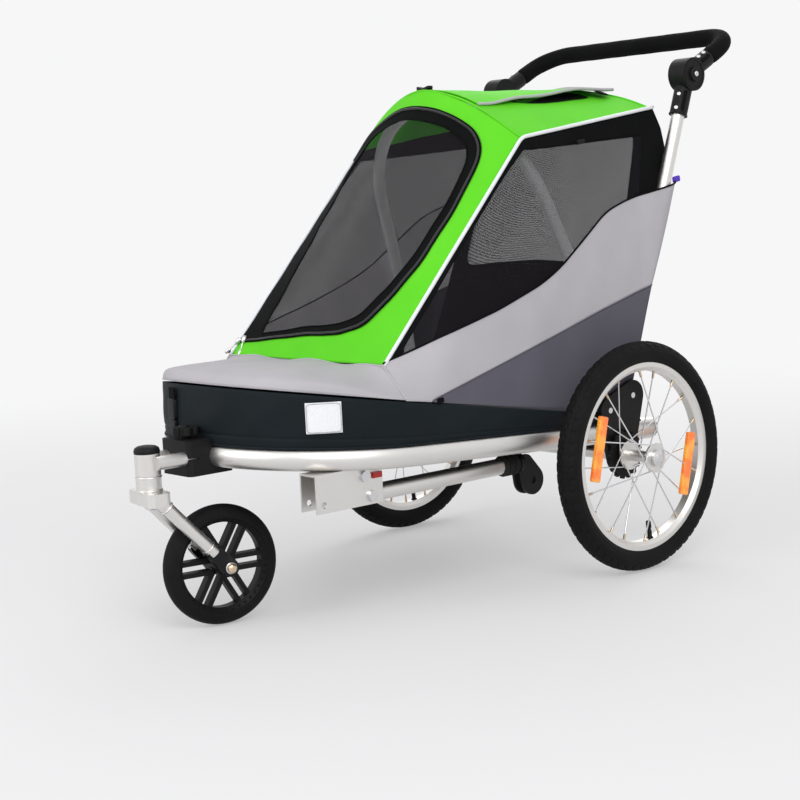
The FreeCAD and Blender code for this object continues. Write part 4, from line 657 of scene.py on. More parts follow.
def cloth(name, points, material, rests_on, stands_for=(), held="stretched", uv=None, wrap=False,
          strip=False, lining=None, thick=0.0012, folding=True):
    """A sewn sheet: the grid is turned to face out of the cabin and thickened inward.
    The strip argument is not used."""
    closed = np.concatenate([points, points[:, :1]], axis=1) if wrap else points
    area = grid_area(closed)
    if uv is None:
        uv = np.stack([travel(points, 1), travel(points)], axis=-1)
    facing = np.cross(points[1:, :-1] - points[:-1, :-1], points[:-1, 1:] - points[:-1, :-1])
    inward = (facing * (points[:-1, :-1] - cabin_middle)).sum() > 0
    made = surface_mesh(name, points, wrap_columns=wrap, uv=uv, flip=bool(inward))
    placed(made, material, "chassis", *stands_for)
    wall = made.modifiers.new("thickness", "SOLIDIFY")
    wall.thickness = thick
    wall.offset = -1
    if lining:
        made.data.materials.append(lining)
        wall.material_offset = 1
    if folding:
        folds_up(made)


def weave(name, dark, light, pitch, gloss, rough):
    """A plain weave in metres of cloth: two sine waves crossed, with clouds of dye and broad creases."""
    def shade(wire):
        flat = wire.place("UV")
        turn = 2 * np.pi / pitch
        threads = flat.part(0).sine(turn) * flat.part(1).sine(turn)
        fleck = wire.noise(900, 2.0)
        worn = wire.noise(11, 4.0) * 0.7 + fleck * 0.3 + threads * 0.08
        crease = wire.noise(7, 5.0)
        return {"Base Color": wire.tint(worn, dark, light), "Roughness": fleck * 0.16 + rough,
                "Normal": wire.bump(crease * 3.0 + threads * 0.06, 0.35, 0.004)}
    return finish(name, {"Specular IOR Level": gloss}, shade)


black_cloth = weave("black_fabric", (0.003, 0.0032, 0.0034), (0.008, 0.0083, 0.0088), 0.0011, 0.04, 0.62)
floor_rear = -0.055
floor_front = 0.699
floor_radius = 0.2404
station = np.linspace(floor_rear, floor_front, 66)[:, None]
past_start = np.clip(station - NOSE_START, 0, None)
half_width = NOSE_FLAT + np.sqrt(np.clip(floor_radius ** 2 - past_start ** 2, 0, None))
across = np.sin(np.linspace(-np.pi / 2, np.pi / 2, 41))[None]
floor_x = station + 0 * across
floor_y = half_width * across
loose = (1 - across ** 4) * step(station, floor_rear, 0.06) * step(floor_front - station, 0, 0.1)
pucker = 0.0008 * np.sin(floor_x * 41 + 2 * np.sin(floor_y * 17))
floor_z = deck(floor_x) + 0.0216 + (pucker - 0.006) * loose
cloth("floor_sheet", np.stack([floor_x + axle_x, floor_y, floor_z], axis=-1), black_cloth,
      ["base_frame"], ["floor_panel"], thick=0.0025, folding=False)


# Skirt: a band of blue-black coated cloth round the deck, deep at the nose and running out at the rear.
# It is hemmed over the frame tube, stitched along a line above the hem, and sewn to the cabin at its top.
RIM_RADIUS = 0.242
SKIRT_REAR = -0.06
SKIRT_LEAST = 0.025
skirt_cloth = weave("skirt_cloth", (0.0035, 0.006, 0.008), (0.011, 0.017, 0.021), 0.0011, 0.12, 0.5)


def skirt_top(x):
    """Height of the skirt's top edge over the tube's axis: a straight rise from rear to nose."""
    return SKIRT_LEAST + SKIRT_RISE * (x - SKIRT_REAR)


side_run = np.linspace(SKIRT_REAR, NOSE_START, 60, endpoint=False)
side_run = np.stack([side_run, np.full(60, NOSE_FLAT + RIM_RADIUS)], axis=1)
turn = np.linspace(np.pi / 2, 0, 70)
half_plan = np.concatenate([side_run, np.stack([np.cos(turn), np.sin(turn)], axis=1) * RIM_RADIUS
                            + (NOSE_START, NOSE_FLAT)])
plan = np.concatenate([half_plan, half_plan[::-1] * (1, -1)])
gone = np.linspace(0, travel(plan)[-1], 321)
rim_line = np.stack([np.interp(gone, travel(plan), row) for row in plan.T], axis=1)
outward = unit(np.gradient(rim_line, axis=0)[:, ::-1] * (-1, 1))
skirt_foot = 0.0165
hem_foot = 0.0175
rise = np.concatenate([np.linspace(0, 0.12, 5), np.linspace(0.14, 0.24, 7), np.linspace(0.3, 1, 12)])[:, None]
depth = skirt_top(rim_line[:, 0]) - skirt_foot
seam_dip = -0.0011 * np.exp(-((rise - 0.19) / 0.022) ** 2)
slack = np.sin(np.pi * rise) * (0.0022 + 0.0012 * np.sin(gone * 33 + 1.3 * np.sin(gone * 9)))
ripple = 0.0009 * np.sin(gone * 71 + 5 * rise) * np.sin(np.pi * rise) ** 2
stand = (slack + ripple + seam_dip) * np.clip(depth / 0.05, 0, 1)
skirt_xy = rim_line[None] + outward[None] * stand[..., None]
skirt_z = deck(rim_line[:, 0]) + skirt_foot + depth * rise
cloth("deck_skirt", np.stack([skirt_xy[..., 0] + axle_x, skirt_xy[..., 1], skirt_z], axis=-1), skirt_cloth,
      ["base_frame"], ["skirt"], strip=True, lining=black_cloth, thick=0.0016, folding=False)
hem_xy = rim_line + outward * 0.0006 + (axle_x, 0)
hem_line = np.column_stack([hem_xy, deck(rim_line[:, 0]) + hem_foot])
placed(swept("skirt_hem", hem_line, 0.0021, UP, 8), skirt_cloth, "chassis")


# Nose cover: light grey cloth from the skirt's edge over a round shoulder, back to the front panel's seam.
# It is one shaped piece, sewn to the skirt below and to the green panel above.
SEAM_Z = 0.404
nose_seam_x = 0.4848
grey_cloth = weave("grey_fabric", (0.42, 0.405, 0.43), (0.56, 0.54, 0.57), 0.0009, 0.15, 0.6)


def sewn(made, material, *stands_for, slot=None):
    """Trim sewn to the cabin: it rides on the chassis."""
    folds_up(placed(made, material, "chassis", *stands_for, slot=slot))


half_span = NOSE_FLAT + RIM_RADIUS * np.arccos((nose_seam_x - NOSE_START) / RIM_RADIUS)
girth = np.linspace(-half_span, half_span, 141)
turn = np.clip(np.abs(girth) - NOSE_FLAT, 0, None) / RIM_RADIUS
edge_x = NOSE_START + RIM_RADIUS * np.cos(turn)
edge_y = np.sign(girth) * (np.minimum(np.abs(girth), NOSE_FLAT) + RIM_RADIUS * np.sin(turn))
edge = np.stack([edge_x, edge_y, deck(edge_x) + skirt_top(edge_x) + 0.0034], axis=1)
seam = np.stack([0 * girth + nose_seam_x, 0.208 * girth / half_span, 0 * girth + SEAM_Z], axis=1)
climb = np.concatenate([np.linspace(0, 0.12, 9), np.linspace(0.14, 1, 26)])[:, None]
side_fade = step(half_span - np.abs(girth), 0, 0.16)
shoulder = 0.02 * (1 - np.exp(-climb / 0.05)) * (1 - climb) ** 0.8 * side_fade
tuck = 0.006 * np.sin(np.pi * np.clip(climb / 0.16, 0, 1)) * side_fade
wave_seam = 0.003 * np.sin(girth * 21 + 0.6) * climb ** 3 * side_fade
drape = 0.0012 * np.sin(girth * 47 + climb * 3) * np.sin(np.pi * climb) * side_fade
nose = edge[None] + (seam - edge)[None] * climb[..., None]
nose[..., 0] += tuck * np.cos(turn) + axle_x
nose[..., 1] += tuck * np.sin(turn) * np.sign(girth)
nose[..., 2] += shoulder + wave_seam + drape
cloth("nose_cloth", nose, grey_cloth, ["base_frame"], ["nose_cover"])
for name, line, radius in (("nose_seam_left", nose[:, -1], 0.0016), ("nose_seam_right", nose[:, 0], 0.0016),
                           ("nose_seam_top", nose[-1], 0.0014)):
    sewn(swept(name, line, radius, (0.3, 0, 1), 8), grey_cloth)


# Side panels: light grey over slate below a wave, black mesh above it, black bands by piping and rear.
# The pieces are sewn edge to edge; the grey goes outside the rear post, which runs into it like a sleeve.
# The right window's net is turned on the bias, so that the two nets don't beat when seen through each other.
SEAM_X = 0.482
CORNER_X = 0.158
CORNER_Z = 0.754
ROOF_RUN = 0.338
ROOF_REAR_Z = 0.803
FOOT_RUN = 0.159
SIDE_TOP_OUT = 0.209
SIDE_FLARE = 0.053
WAVE = np.array(((-0.2014, 0.6702), (-0.1098, 0.6501), (-0.06, 0.6385), (-0.0121, 0.6225), (0.0529, 0.5774),
                 (0.1179, 0.5337), (0.17, 0.5088), (0.2644, 0.4765), (0.392, 0.4422), (0.482, 0.409),
                 (0.56, 0.38)))
SLATE = np.array(((-0.1083, 0.4883), (0.0291, 0.4535), (0.1332, 0.425), (0.2788, 0.3861), (0.4375, 0.3445)))
BAND = np.array(((-0.3, 0.05), (-0.137, 0.044), (0.1, 0.026), (0.158, 0.021), (0.2, 0.012), (0.5, 0.012)))


def even_line(x, knots, ease):
    """Height over a row of given points, straight between them and averaged over an ease on both sides."""
    shifts = np.linspace(-ease, ease, 9)
    return np.interp(np.asarray(x)[..., None] + shifts, knots[:, 0], knots[:, 1]).mean(axis=-1)


def hem_height(x):
    """Height of the seam with the skirt."""
    return deck(x) + skirt_top(x) + 0.0022


def piped_height(x):
    """Height of the piped edge: up the front to the corner over the door, then along the roof."""
    return np.where(x > CORNER_X, SEAM_Z + (SEAM_X - x) / (SEAM_X - CORNER_X) * (CORNER_Z - SEAM_Z),
                    CORNER_Z + (CORNER_X - x) / ROOF_RUN * (ROOF_REAR_Z - CORNER_Z))


def wave_height(x):
    """Height of the grey cloth's upper edge."""
    return even_line(x, WAVE, 0.02)


def slate_height(x):
    """Height of the seam between slate and grey, which meets the skirt in front."""
    return np.maximum(np.interp(x, SLATE[:, 0], SLATE[:, 1]), hem_height(x))


def mesh_height(x):
    """Height of the window's upper edge, a band's width below the piping."""
    return np.maximum(piped_height(x) - even_line(x, BAND, 0.03), wave_height(x))


def side_out(x, z):
    """Distance of the side from the middle: out at the skirt, drawn in by a power of the rise to the piping.
    Behind the front corner the columns lean back, so the column under a point is found by a few repeats."""
    column = np.clip((CORNER_X - x) / 0.25, 0, 1.4)
    for _ in range(10):
        foot = np.where(x > CORNER_X, x, CORNER_X - FOOT_RUN * column)
        top = np.where(x > CORNER_X, x, CORNER_X - ROOF_RUN * column)
        rise = np.clip((z - hem_height(foot)) / (piped_height(top) - hem_height(foot)), 0, 1)
        column = np.clip((CORNER_X - x) / (FOOT_RUN + (ROOF_RUN - FOOT_RUN) * rise), 0, 1.4)
    power = 1 + 1.2 * step(SEAM_X - x, 0, 0.12)
    return SIDE_TOP_OUT + SIDE_FLARE * (1 - rise ** power)


def over_post(x, z):
    """The side, let out so that it passes outside the post: a tent whose ridge runs along the post."""
    post_x = -0.034 - 0.207 * (z - 0.3) / 0.56
    ahead = np.clip(x - post_x, 0, None)
    behind = np.clip(post_x - x, 0, None)
    tent = 0.2572 - 0.05 * (ahead / 0.12) ** 1.4 - 0.016 * (behind / 0.03) ** 2
    plain = side_out(x, z)
    gap = tent - plain
    return plain + (gap + np.sqrt(gap ** 2 + 0.003 ** 2)) / 2


def on_side(flat, out):
    """Points of the left side over stations and heights, set out from the middle by the side's shape."""
    return np.stack([flat[..., 0] + axle_x, out(flat[..., 0], flat[..., 1]), flat[..., 1]], axis=-1)


def line_over(start, end, count, height):
    """A line of stations and the heights over them."""
    x = np.linspace(start, end, count)
    return np.stack([x, height(x)], axis=1)


def ruled(first, last, rows):
    """A grid whose rows go by even shares from one line to another."""
    return first[None] + (last - first)[None] * np.linspace(0, 1, rows)[:, None, None]


def netting(name, pitch, bias=0.0):
    """Holes in a knitted net: crossed waves of the cloth's own metres, solid where either is low.
    The bias is the angle that the net is turned by on the cloth."""
    def shade(wire):
        flat = wire.new("ShaderNodeMapping", {}, {"Vector": wire.place("UV"), "Rotation": (0, 0, bias)})
        turn = 2 * np.pi / pitch
        hole = (flat.part(0).sine(turn) * flat.part(1).sine(turn)).maths("ABSOLUTE").above(0.2, 0.28)
        fleck = wire.noise(1100, 2.0)
        return {"Base Color": wire.tint(fleck, (0.009, 0.008, 0.0095), (0.024, 0.021, 0.025)),
                "Alpha": 1.0 - hole * 0.92, "Roughness": fleck * 0.2 + 0.55}
    return finish(name, {"Specular IOR Level": 0.05}, shade)


slate_cloth = weave("slate_cloth", (0.09, 0.087, 0.109), (0.142, 0.137, 0.167), 0.0009, 0.15, 0.6)
net_pitch = 0.0021
mesh_cloth = netting("mesh_fabric", net_pitch)
bias_cloth = netting("bias_fabric", net_pitch, 0.6)
# The grey's inner face glows: its emission is painted light standing in for daylight coming through the thin
# cloth.
side_lining_painted_glow = mottled("side_lining_painted_glow", (0.42, 0.405, 0.43), (0.52, 0.5, 0.53),
                      {"Emission Color": (0.42, 0.405, 0.43, 1), "Emission Strength": 0.38},
                      drift=(900, 2.0), rough=(0.7, 0.1))
net_thick = 0.0006
slate_front = 0.43
grey_front = 0.486
mesh_front = 0.45
band_front = 0.476
mesh_rear = (-0.1368, 0.7528)
band_rear = -0.145
slate_high = line_over(slate_front, -0.109, 90, slate_height)
grey_low = np.concatenate([line_over(grey_front, slate_front, 16, hem_height)[:-1], slate_high])
grey_high = line_over(grey_front, WAVE[0, 0], len(grey_low), wave_height)
mesh_high = line_over(mesh_front, mesh_rear[0], 100, mesh_height)
band_low = np.concatenate([line_over(band_front, mesh_front, 8, wave_height)[:-1], mesh_high])
strip_low = np.concatenate([np.linspace((-0.096, 0.625), mesh_rear, 40),
                            np.linspace(mesh_rear, (band_rear, piped_height(band_rear)), 12)[1:]])
strip_rear = np.interp(strip_low[:, 1], (0.625, 0.7, 0.7628, ROOF_REAR_Z), (-0.176, -0.196, -0.193, -0.1795))
strip_lift = np.linspace(0, ROOF_REAR_Z - strip_low[-1, 1], len(strip_low))
strip_high = np.stack([strip_rear, strip_low[:, 1] + strip_lift], axis=1)
SIDE_PIECES = (
    ("slate", ruled(line_over(slate_front, -0.024, 90, hem_height), slate_high, 26),
     over_post, slate_cloth, {}),
    ("grey", ruled(grey_low, grey_high, 34),
     over_post, grey_cloth, {"lining": side_lining_painted_glow}),
    ("mesh", ruled(line_over(mesh_front, -0.106, 100, wave_height), mesh_high, 30),
     side_out, mesh_cloth, {"thick": net_thick}),
    ("band", ruled(band_low, line_over(band_front, band_rear, len(band_low), piped_height), 6),
     side_out, black_cloth, {"strip": True}),
    ("rear_strip", ruled(strip_low, strip_high, 14),
     side_out, black_cloth, {}))
SIDE_NODES = {"grey": ("side_panels",), "mesh": ("side_windows",)}
for side_name, side in SIDES:
    mirror = np.array((1, side, 1))
    for name, flat, out, made, ways in SIDE_PIECES:
        points = on_side(flat, out)
        sewn_in = np.sin(np.pi * np.linspace(0, 1, len(flat)))[:, None]
        points[..., 1] += 0.0007 * np.sin(flat[..., 0] * 61 + flat[..., 1] * 23) * sewn_in
        if side < 0 and made is mesh_cloth:
            made = bias_cloth
        stands_for = SIDE_NODES.get(name, ()) if side > 0 else ()
        cloth(f"{side_name}_{name}", points * mirror, made, ["base_frame", "posts"], stands_for,
              uv=flat, **ways)
    for name, line, made, radius in (("wave", grey_high, black_cloth, 0.0017),
                                     ("slate_seam", slate_high, slate_cloth, 0.0009)):
        bound = on_side(line, over_post) + LEFT * 0.0004
        sewn(swept(f"{side_name}_{name}_binding", bound * mirror, radius, LEFT, 8), made,
             slot="black_fabric")


# Front panel: green cloth from the nose seam up to the roof's first arch, with a zipped mesh door.
# The door is hinged along the right edge; two zip pulls meet at its lower right corner.
CROWN_Z = 0.847
ARCH_HALF = 0.2072
FRONT_OUT = np.array((0.73, 0, 0.68))
FRONT_CUT = (0.2, 0.55)
green_cloth = weave("green_fabric", (0.1, 0.62, 0.012), (0.155, 0.74, 0.03), 0.0009, 0.14, 0.55)


def arch(x, crown_x, low_z, share):
    """A roof arch: the lift falls off as a power of the share of the half width."""
    lift = 1 - np.abs(share) ** 1.75
    return np.stack([x + (crown_x - x) * lift + axle_x, ARCH_HALF * share,
                     low_z + (CROWN_Z - low_z) * lift], axis=-1)


def level(x, half, z, share):
    """A straight seam across the cabin, over shares of its half width."""
    return np.stack([0 * share + x + axle_x, half * share, 0 * share + z], axis=-1)


def blown(flat, first, last, swell, beats, out):
    """A panel over shares of half width and run: straight from line to line, swollen and puckered outward."""
    share = flat[..., 0]
    run = flat[..., 1]
    puff = swell * np.sin(np.pi * np.clip(run, 0, 1)) * (1 - share ** 2)
    pucker = 0.0006 * np.sin(share * beats[0] + run * beats[1])
    return first + (last - first) * run[..., None] + (puff + pucker)[..., None] * out


def front_face(flat):
    """The front panel, from the nose seam up to the arch."""
    share = flat[..., 0]
    return blown(flat, level(SEAM_X, 0.2052, SEAM_Z, share), arch(CORNER_X, 0.19, CORNER_Z, share),
                 0.004, (13, 31), FRONT_OUT)


def through(knots, count):
    """A smooth line through points: each run is a cubic whose ends lean as their neighbours do."""
    knots = np.asarray(knots, float)
    lean = np.gradient(knots, axis=0)
    place = np.linspace(0, len(knots) - 1, count)
    run = np.minimum(place.astype(int), len(knots) - 2)
    part = (place - run)[:, None]
    return ((2 * part ** 3 - 3 * part ** 2 + 1) * knots[run] + (part ** 3 - 2 * part ** 2 + part) * lean[run]
            + (3 * part ** 2 - 2 * part ** 3) * knots[run + 1] + (part ** 3 - part ** 2) * lean[run + 1])


def zip_teeth(wire):
    """Black coil teeth, one to each turn of a sine up the door; the sine also lightens each tooth's crest and
    darkens the gaps, as painted highlight and shade.
    """
    teeth = wire.place().part(2).sine(2400.0)
    return {"Base Color": wire.tint(teeth * 0.5 + 0.5, (0.006, 0.006, 0.007), (0.03, 0.03, 0.032)),
            "Roughness": wire.noise(220, 2.0) * 0.15 + 0.32, "Normal": wire.bump(teeth, 0.5, 0.001)}


DOOR = ((-1, 0.055), (-0.6, 0.066), (-0.2, 0.08), (0.15, 0.09), (0.38, 0.105), (0.6, 0.165), (0.77, 0.34),
        (0.82, 0.48), (0.84, 0.62), (0.835, 0.76), (0.80, 0.865), (0.70, 0.915), (0.55, 0.932),
        (0.3, 0.936), (0, 0.936), (-0.3, 0.94), (-0.6, 0.946), (-1, 0.94))
OPENING = ((-0.73, 0.09), (-0.5, 0.096), (-0.2, 0.11), (0.12, 0.122), (0.33, 0.14), (0.51, 0.2), (0.68, 0.36),
           (0.73, 0.49), (0.755, 0.62), (0.752, 0.74), (0.725, 0.82), (0.64, 0.868), (0.5, 0.882),
           (0.28, 0.885), (0, 0.885), (-0.28, 0.885), (-0.52, 0.875), (-0.7, 0.82))
ZIP_PULL = ((0, -0.004), (0.0042, -0.004), (0.0048, 0), (0.0045, 0.005), (0.0032, 0.0075), (0.0016, 0.0095),
            (0.0013, 0.021), (0.0026, 0.0235), (0.0034, 0.029), (0.0024, 0.034), (0, 0.0352))
door_count = 171
door_line = through(DOOR, door_count)
opening_line = through(OPENING, door_count)
panel_line = np.concatenate([np.linspace((-1, 0), (1, 0), 51)[:-1], np.linspace((1, 0), (1, 1), 61)[:-1],
                             np.linspace((1, 1), (-1, 1), 61)])
door_ring = np.concatenate([door_line, np.linspace(DOOR[-1], DOOR[0], 42)[1:-1]])
opening_ring = np.concatenate([opening_line, np.linspace(OPENING[-1], OPENING[0], 42)[1:-1]])
flat = ruled(panel_line, door_line, 12)
cloth("front_green", front_face(flat), green_cloth, ["bow_tube"], ["front_panel"],
      uv=flat * FRONT_CUT, strip=True)
flat = ruled(door_ring, opening_ring, 7)
cloth("front_border", front_face(flat) + FRONT_OUT * 0.0014, black_cloth, ["bow_tube"],
      uv=flat * FRONT_CUT, wrap=True, strip=True)
flat = ruled(opening_ring, np.zeros_like(opening_ring) + (0.02, 0.5), 30)
cloth("front_mesh", front_face(flat), mesh_cloth, ["bow_tube"], ["front_window"],
      uv=flat * FRONT_CUT, wrap=True, thick=net_thick)
zip_coil = finish("zip_coil", {"Specular IOR Level": 0.45}, zip_teeth)
zip_count = door_count * 3
zip_line = through((door_line + (opening_line - door_line) * 0.16)[::2], zip_count)
zip_radius = 0.0024 * (1 + 0.12 * (np.arange(zip_count) % 2))
sewn(swept("door_zip", front_face(zip_line) + FRONT_OUT * 0.002, zip_radius, FRONT_OUT, 8), zip_coil)
for name, line, radius, closed in (("door_binding", door_line, 0.0016, False),
                                   ("opening_binding", opening_ring, 0.0013, True)):
    sewn(swept(name, front_face(line) + FRONT_OUT * 0.0016, radius, FRONT_OUT, 8, closed), black_cloth)
pull_spots = front_face(np.array(((-0.985, 0.06), (-0.93, 0.068)))) + FRONT_OUT * 0.004
pull_ways = ((0.5, -0.45, -0.55), (0.45, 0.1, -0.75))
sewn(turned_set("zip_pulls", ZIP_PULL, pull_spots, pull_ways, 12), polished_steel)


# Roof: green cloth from the front arch to the rear one, with a mesh vent in its middle under a loose flap.
# The flap is sewn down along the front arch; its free edges are bound in light grey and lift off the roof.
def roof_face(flat):
    """The roof, from the front arch to the rear one, with a little sag."""
    share = flat[..., 0]
    return blown(flat, arch(0.1552, 0.1872, CORNER_Z, share), arch(-0.1744, -0.1744, ROOF_REAR_Z, share),
                 0.0035, (9, 17), -UP)


def crossed(shares, rows):
    """A grid of pairs: a share for each column and a place for each row."""
    return np.stack(np.broadcast_arrays(shares[None], rows[:, None]), axis=-1)


def squared(value, power):
    """A sine or cosine, or a round line of both, pushed out towards a square."""
    return np.sign(value) * np.abs(value) ** power


# The roof's inner face glows: its emission is painted light standing in for daylight coming through the thin
# cloth.
roof_lining_painted_glow = mottled("roof_lining_painted_glow", (0.1, 0.6, 0.02), (0.15, 0.72, 0.04),
                      {"Emission Color": (0.03, 0.3, 0.006, 1), "Emission Strength": 0.35},
                      drift=(900, 2.0), rough=(0.7, 0.1))
vent_cloth = netting("vent_fabric", 0.0033)
ROOF_CUT = (0.24, 0.34)
turn = circle(200)
ring = np.stack([np.cos(turn), np.sin(turn)], axis=1)
square = ring / np.abs(ring).max(axis=1, keepdims=True)
vent = squared(ring, 0.35)
vent_middle = (0, 0.58)
vent_line = vent * (0.58, 0.31) + vent_middle
flat = ruled(square * (1, 0.5) + (0, 0.5), vent_line, 22)
cloth("roof_green", roof_face(flat), green_cloth, ["bow_tube"], ["roof_panel"], uv=flat * ROOF_CUT,
      wrap=True, strip=True, lining=roof_lining_painted_glow, thick=0.001)
flat = ruled(vent_line, 0 * vent_line + vent_middle, 14)
cloth("roof_vent", roof_face(flat) - UP * 0.0006, vent_cloth, ["bow_tube"], uv=flat * ROOF_CUT,
      wrap=True, thick=net_thick)
flap_half = 0.56
flat = crossed(np.linspace(-flap_half, flap_half, 49), np.linspace(0.03, 1.0, 50))
share = flat[..., 0]
back = flat[..., 1]
lifted = step(back, 0.08, 0.35) * (1 - 0.25 * step(back, 0.7, 1.0)) * (1 + 0.3 * np.sin(back * 9 + 1.2))
flap_lift = 0.0032 + 0.010 * lifted * np.abs(share / flap_half) ** 2.5 + 0.002 * step(back, 0.2, 0.6)
flap = roof_face(flat) + flap_lift[..., None] * UP
flap[..., 1] *= 1 + 0.05 * step(back, 0.5, 1)
cloth("roof_cover", flap, green_cloth, ["roof_green"], ["roof_flap"], held="laid")
for name, line in (("left", flap[:, -1]), ("right", flap[:, 0]), ("rear", flap[-1])):
    sewn(swept(f"flap_binding_{name}", line, 0.0028, UP, 8), grey_cloth)
for name, back, proud in (("front", 0.0, 0.0008), ("rear", 1.0, 0.0006)):
    line = roof_face(np.linspace((-1, back), (1, back), 81)) + UP * proud
    sewn(swept(f"{name}_arch_seam", line, 0.0018, AHEAD, 8), green_cloth)


# Rear panel: black cloth round a mesh window above, light grey below, between the rear arch and the skirt.
# It is sewn to both sides, and its grey part is lined in black; the window lets air through to the door.
REAR_OUT = np.array((-0.95, 0, -0.3))


def rear_face(flat):
    """The rear panel, from the rear arch down to the skirt."""
    share = flat[..., 0]
    return blown(flat, arch(-0.18, -0.18, ROOF_REAR_Z, share), level(-0.001, 0.2592, 0.2705, share),
                 0.004, (11, 19), REAR_OUT)


REAR_CUT = (0.22, 0.56)
black_half_fall = 0.29
window_middle = (0, 0.315)
window_line = squared(vent, 0.45) * (0.86, 0.225) + window_middle
flat = ruled(square * (1, black_half_fall) + (0, black_half_fall), window_line, 14)
cloth("rear_black", rear_face(flat), black_cloth, ["posts"], ["rear_panel"], uv=flat * REAR_CUT,
      wrap=True, strip=True)
flat = ruled(window_line, 0 * window_line + window_middle, 16)
cloth("rear_mesh", rear_face(flat), vent_cloth, ["posts"], uv=flat * REAR_CUT, wrap=True,
      thick=net_thick)
flat = crossed(np.linspace(-1, 1, 49), np.linspace(2 * black_half_fall, 1, 24))
cloth("rear_grey", rear_face(flat), grey_cloth, ["posts"], lining=black_cloth, thick=0.0014)


# Piping: a white reflective cord sewn in the seam of both sides, up the front corner and back under the roof.
# Small trim goes on last: the reflective patch on the skirt, tabs, buckles and the clip on the crown.
def bright_tape(wire):
    """Tape of tiny glass beads, scuffed in patches."""
    beads = wire.cells(700.0)
    return {"Base Color": wire.tint(beads.maths("MINIMUM", 1.0), (0.7, 0.715, 0.74), (0.86, 0.875, 0.89)),
            "Roughness": wire.noise(45, 4.0) * 0.2 + 0.28, "Normal": wire.bump(beads, 0.25, 0.0006)}


def rounded_block(name, middle, first, second, sizes, power=0.35):
    """A block with round edges: an ellipsoid whose sines and cosines are raised to a small power."""
    first = unit(first)
    second = unit(np.asarray(second, float) - first * np.dot(first, second))
    third = np.cross(first, second)
    turn = circle(32, -np.pi)[None, :, None]
    tilt = np.linspace(-np.pi / 2, np.pi / 2, 17)[:, None, None]
    spread = squared(np.cos(tilt), power)
    points = (np.asarray(middle, float) + spread * squared(np.cos(turn), power) * first * sizes[0] / 2
              + spread * squared(np.sin(turn), power) * second * sizes[1] / 2
              + (squared(np.sin(tilt), power) + 0 * turn) * third * sizes[2] / 2)
    return surface_mesh(name, points, wrap_columns=True)


def on_skirt(distance, height, proud):
    """Points on the skirt at distances along its rim and heights above the floor, standing proud of it."""
    x, y, out_x, out_y = (np.interp(distance, gone, row) for row in (*rim_line.T, *outward.T))
    return np.stack([x + out_x * proud + axle_x, y + out_y * proud, height], axis=-1)


# The tape's weak blue-white emission is a painted glow for its retro-reflection, not a lamp.
tape_painted_glow = {"Emission Strength": 0.06, "Emission Color": (0.9, 0.96, 1, 1)}
reflective_tape = finish("reflective_fabric", tape_painted_glow, bright_tape)
pull_web = mottled("pull_web", (0.06, 0.012, 0.42), (0.12, 0.03, 0.62), {"Sheen Weight": 0.2},
                   drift=(500, 2.0), rough=(0.5, 0.2))
piping_start = np.array((0.4835, 0.2088, SEAM_Z))
piping_corner = np.array((CORNER_X, 0.211, 0.7555))
piping_end = np.array((-0.1805, 0.211, 0.8045))
ease_length = 0.011
before = piping_corner + unit(piping_start - piping_corner) * ease_length
after = piping_corner + unit(piping_end - piping_corner) * ease_length
ease = np.linspace(0, 1, 17)[:, None]
bend = (1 - ease) ** 2 * before + 2 * ease * (1 - ease) * piping_corner + ease ** 2 * after
route = np.concatenate([np.linspace(piping_start, before, 40)[:-1], bend,
                        np.linspace(after, piping_end, 40)[1:]])
for side_name, side in SIDES:
    cord = swept(side_name + "_piping", (route + (axle_x, 0, 0)) * (1, side, 1), 0.0032, LEFT, 12)
    sewn(cord, reflective_tape, *(("piping",) if side > 0 else ()))

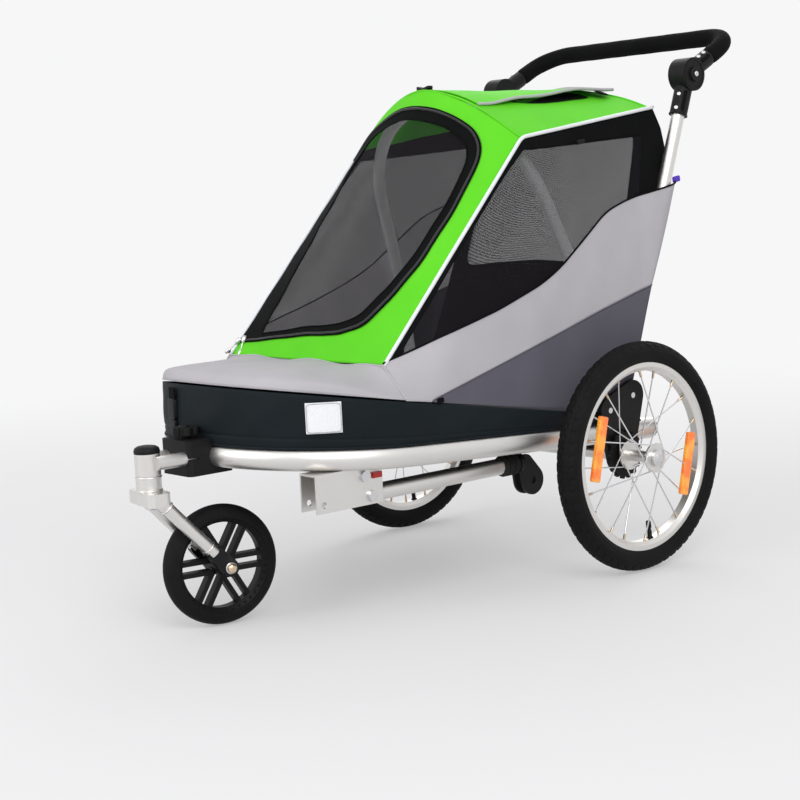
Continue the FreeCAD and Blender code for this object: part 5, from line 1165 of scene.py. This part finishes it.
patch_half = 0.0275
patch_low = 0.314
patch_high = 0.362
patch_z = 0.338
patch_at = np.interp(0.61, rim_line[:130, 0], gone[:130])
flat = crossed(np.linspace(-patch_half, patch_half, 25) + patch_at, np.linspace(patch_low, patch_high, 19))
plump = (np.clip(1 - ((flat[..., 0] - patch_at) / patch_half) ** 8, 0, 1)
         * np.clip(1 - ((flat[..., 1] - patch_z) / 0.024) ** 8, 0, 1))
cloth("skirt_patch", on_skirt(flat[..., 0], flat[..., 1], 0.0046 + 0.0008 * plump), reflective_tape,
      ["deck_skirt"], held="laid", folding=False, thick=0.0009)
turn = circle(96)
stitch = squared(np.stack([np.cos(turn), np.sin(turn)], axis=1), 0.2) * (0.0258, 0.0222) + (patch_at, patch_z)
patch_out = on_skirt(patch_at, patch_z, 1.0) - on_skirt(patch_at, patch_z, 0.0)
stitch_line = on_skirt(stitch[:, 0], stitch[:, 1], 0.0058)
stitch_radius = 0.0004 + 0.0003 * (np.arange(96) % 2)
placed(swept("patch_stitch", stitch_line, stitch_radius, patch_out, 6, closed=True), grey_cloth, "chassis",
       slot="reflective_fabric")

crown = roof_face(np.array((-0.03, 0.03)))
CLIP_PIECES = (((0, 0, 0.003), LEFT, (0.02, 0.026, 0.006)),
               ((0, 0.009, 0.0062), (0, 1, 0.25), (0.013, 0.014, 0.005)),
               ((0, -0.009, 0.0062), (0, 1, -0.25), (0.013, 0.014, 0.005)))
for number, (shift, second, sizes) in enumerate(CLIP_PIECES):
    sewn(rounded_block(f"crown_clip_{number}", crown + shift, AHEAD, second, sizes), black_plastic)
for side_name, side in SIDES:
    for name, spot, out, sizes, made in (
            ("seam_tab", (0.4164, 0.3445), over_post, (0.013, 0.008, 0.004), black_cloth),
            ("window_toggle", (0.022, 0.745), side_out, (0.018, 0.008, 0.006), black_plastic),
            ("pull_tab", (-0.205, 0.6735), over_post, (0.02, 0.011, 0.003), pull_web)):
        middle = (on_side(np.array(spot), out) + LEFT * 0.002) * (1, side, 1)
        sewn(rounded_block(f"{side_name}_{name}", middle, (1, 0, -0.15), UP, sizes), made)
tab_spot = flap[-6, -3] - (0, -0.012, 0.006)
sewn(rounded_block("flap_tab", tab_spot, (1, 0.2, 0.1), (0, 1, -0.35), (0.03, 0.026, 0.004), 0.8),
     black_cloth)
buckle_at = gone[-1] / 2 + 0.06
buckle_proud = 0.006
for number, (height, sizes, made) in enumerate(((0.345, (0.026, 0.034, 0.009), black_plastic),
                                                (0.318, (0.02, 0.02, 0.006), black_plastic),
                                                (0.369, (0.022, 0.022, 0.004), black_cloth))):
    spot = on_skirt(buckle_at, height, buckle_proud)
    along = on_skirt(buckle_at + 0.01, height, buckle_proud) - spot
    placed(rounded_block(f"nose_buckle_{number}", spot, along, UP, sizes), made, "chassis",
           slot="black_plastic")
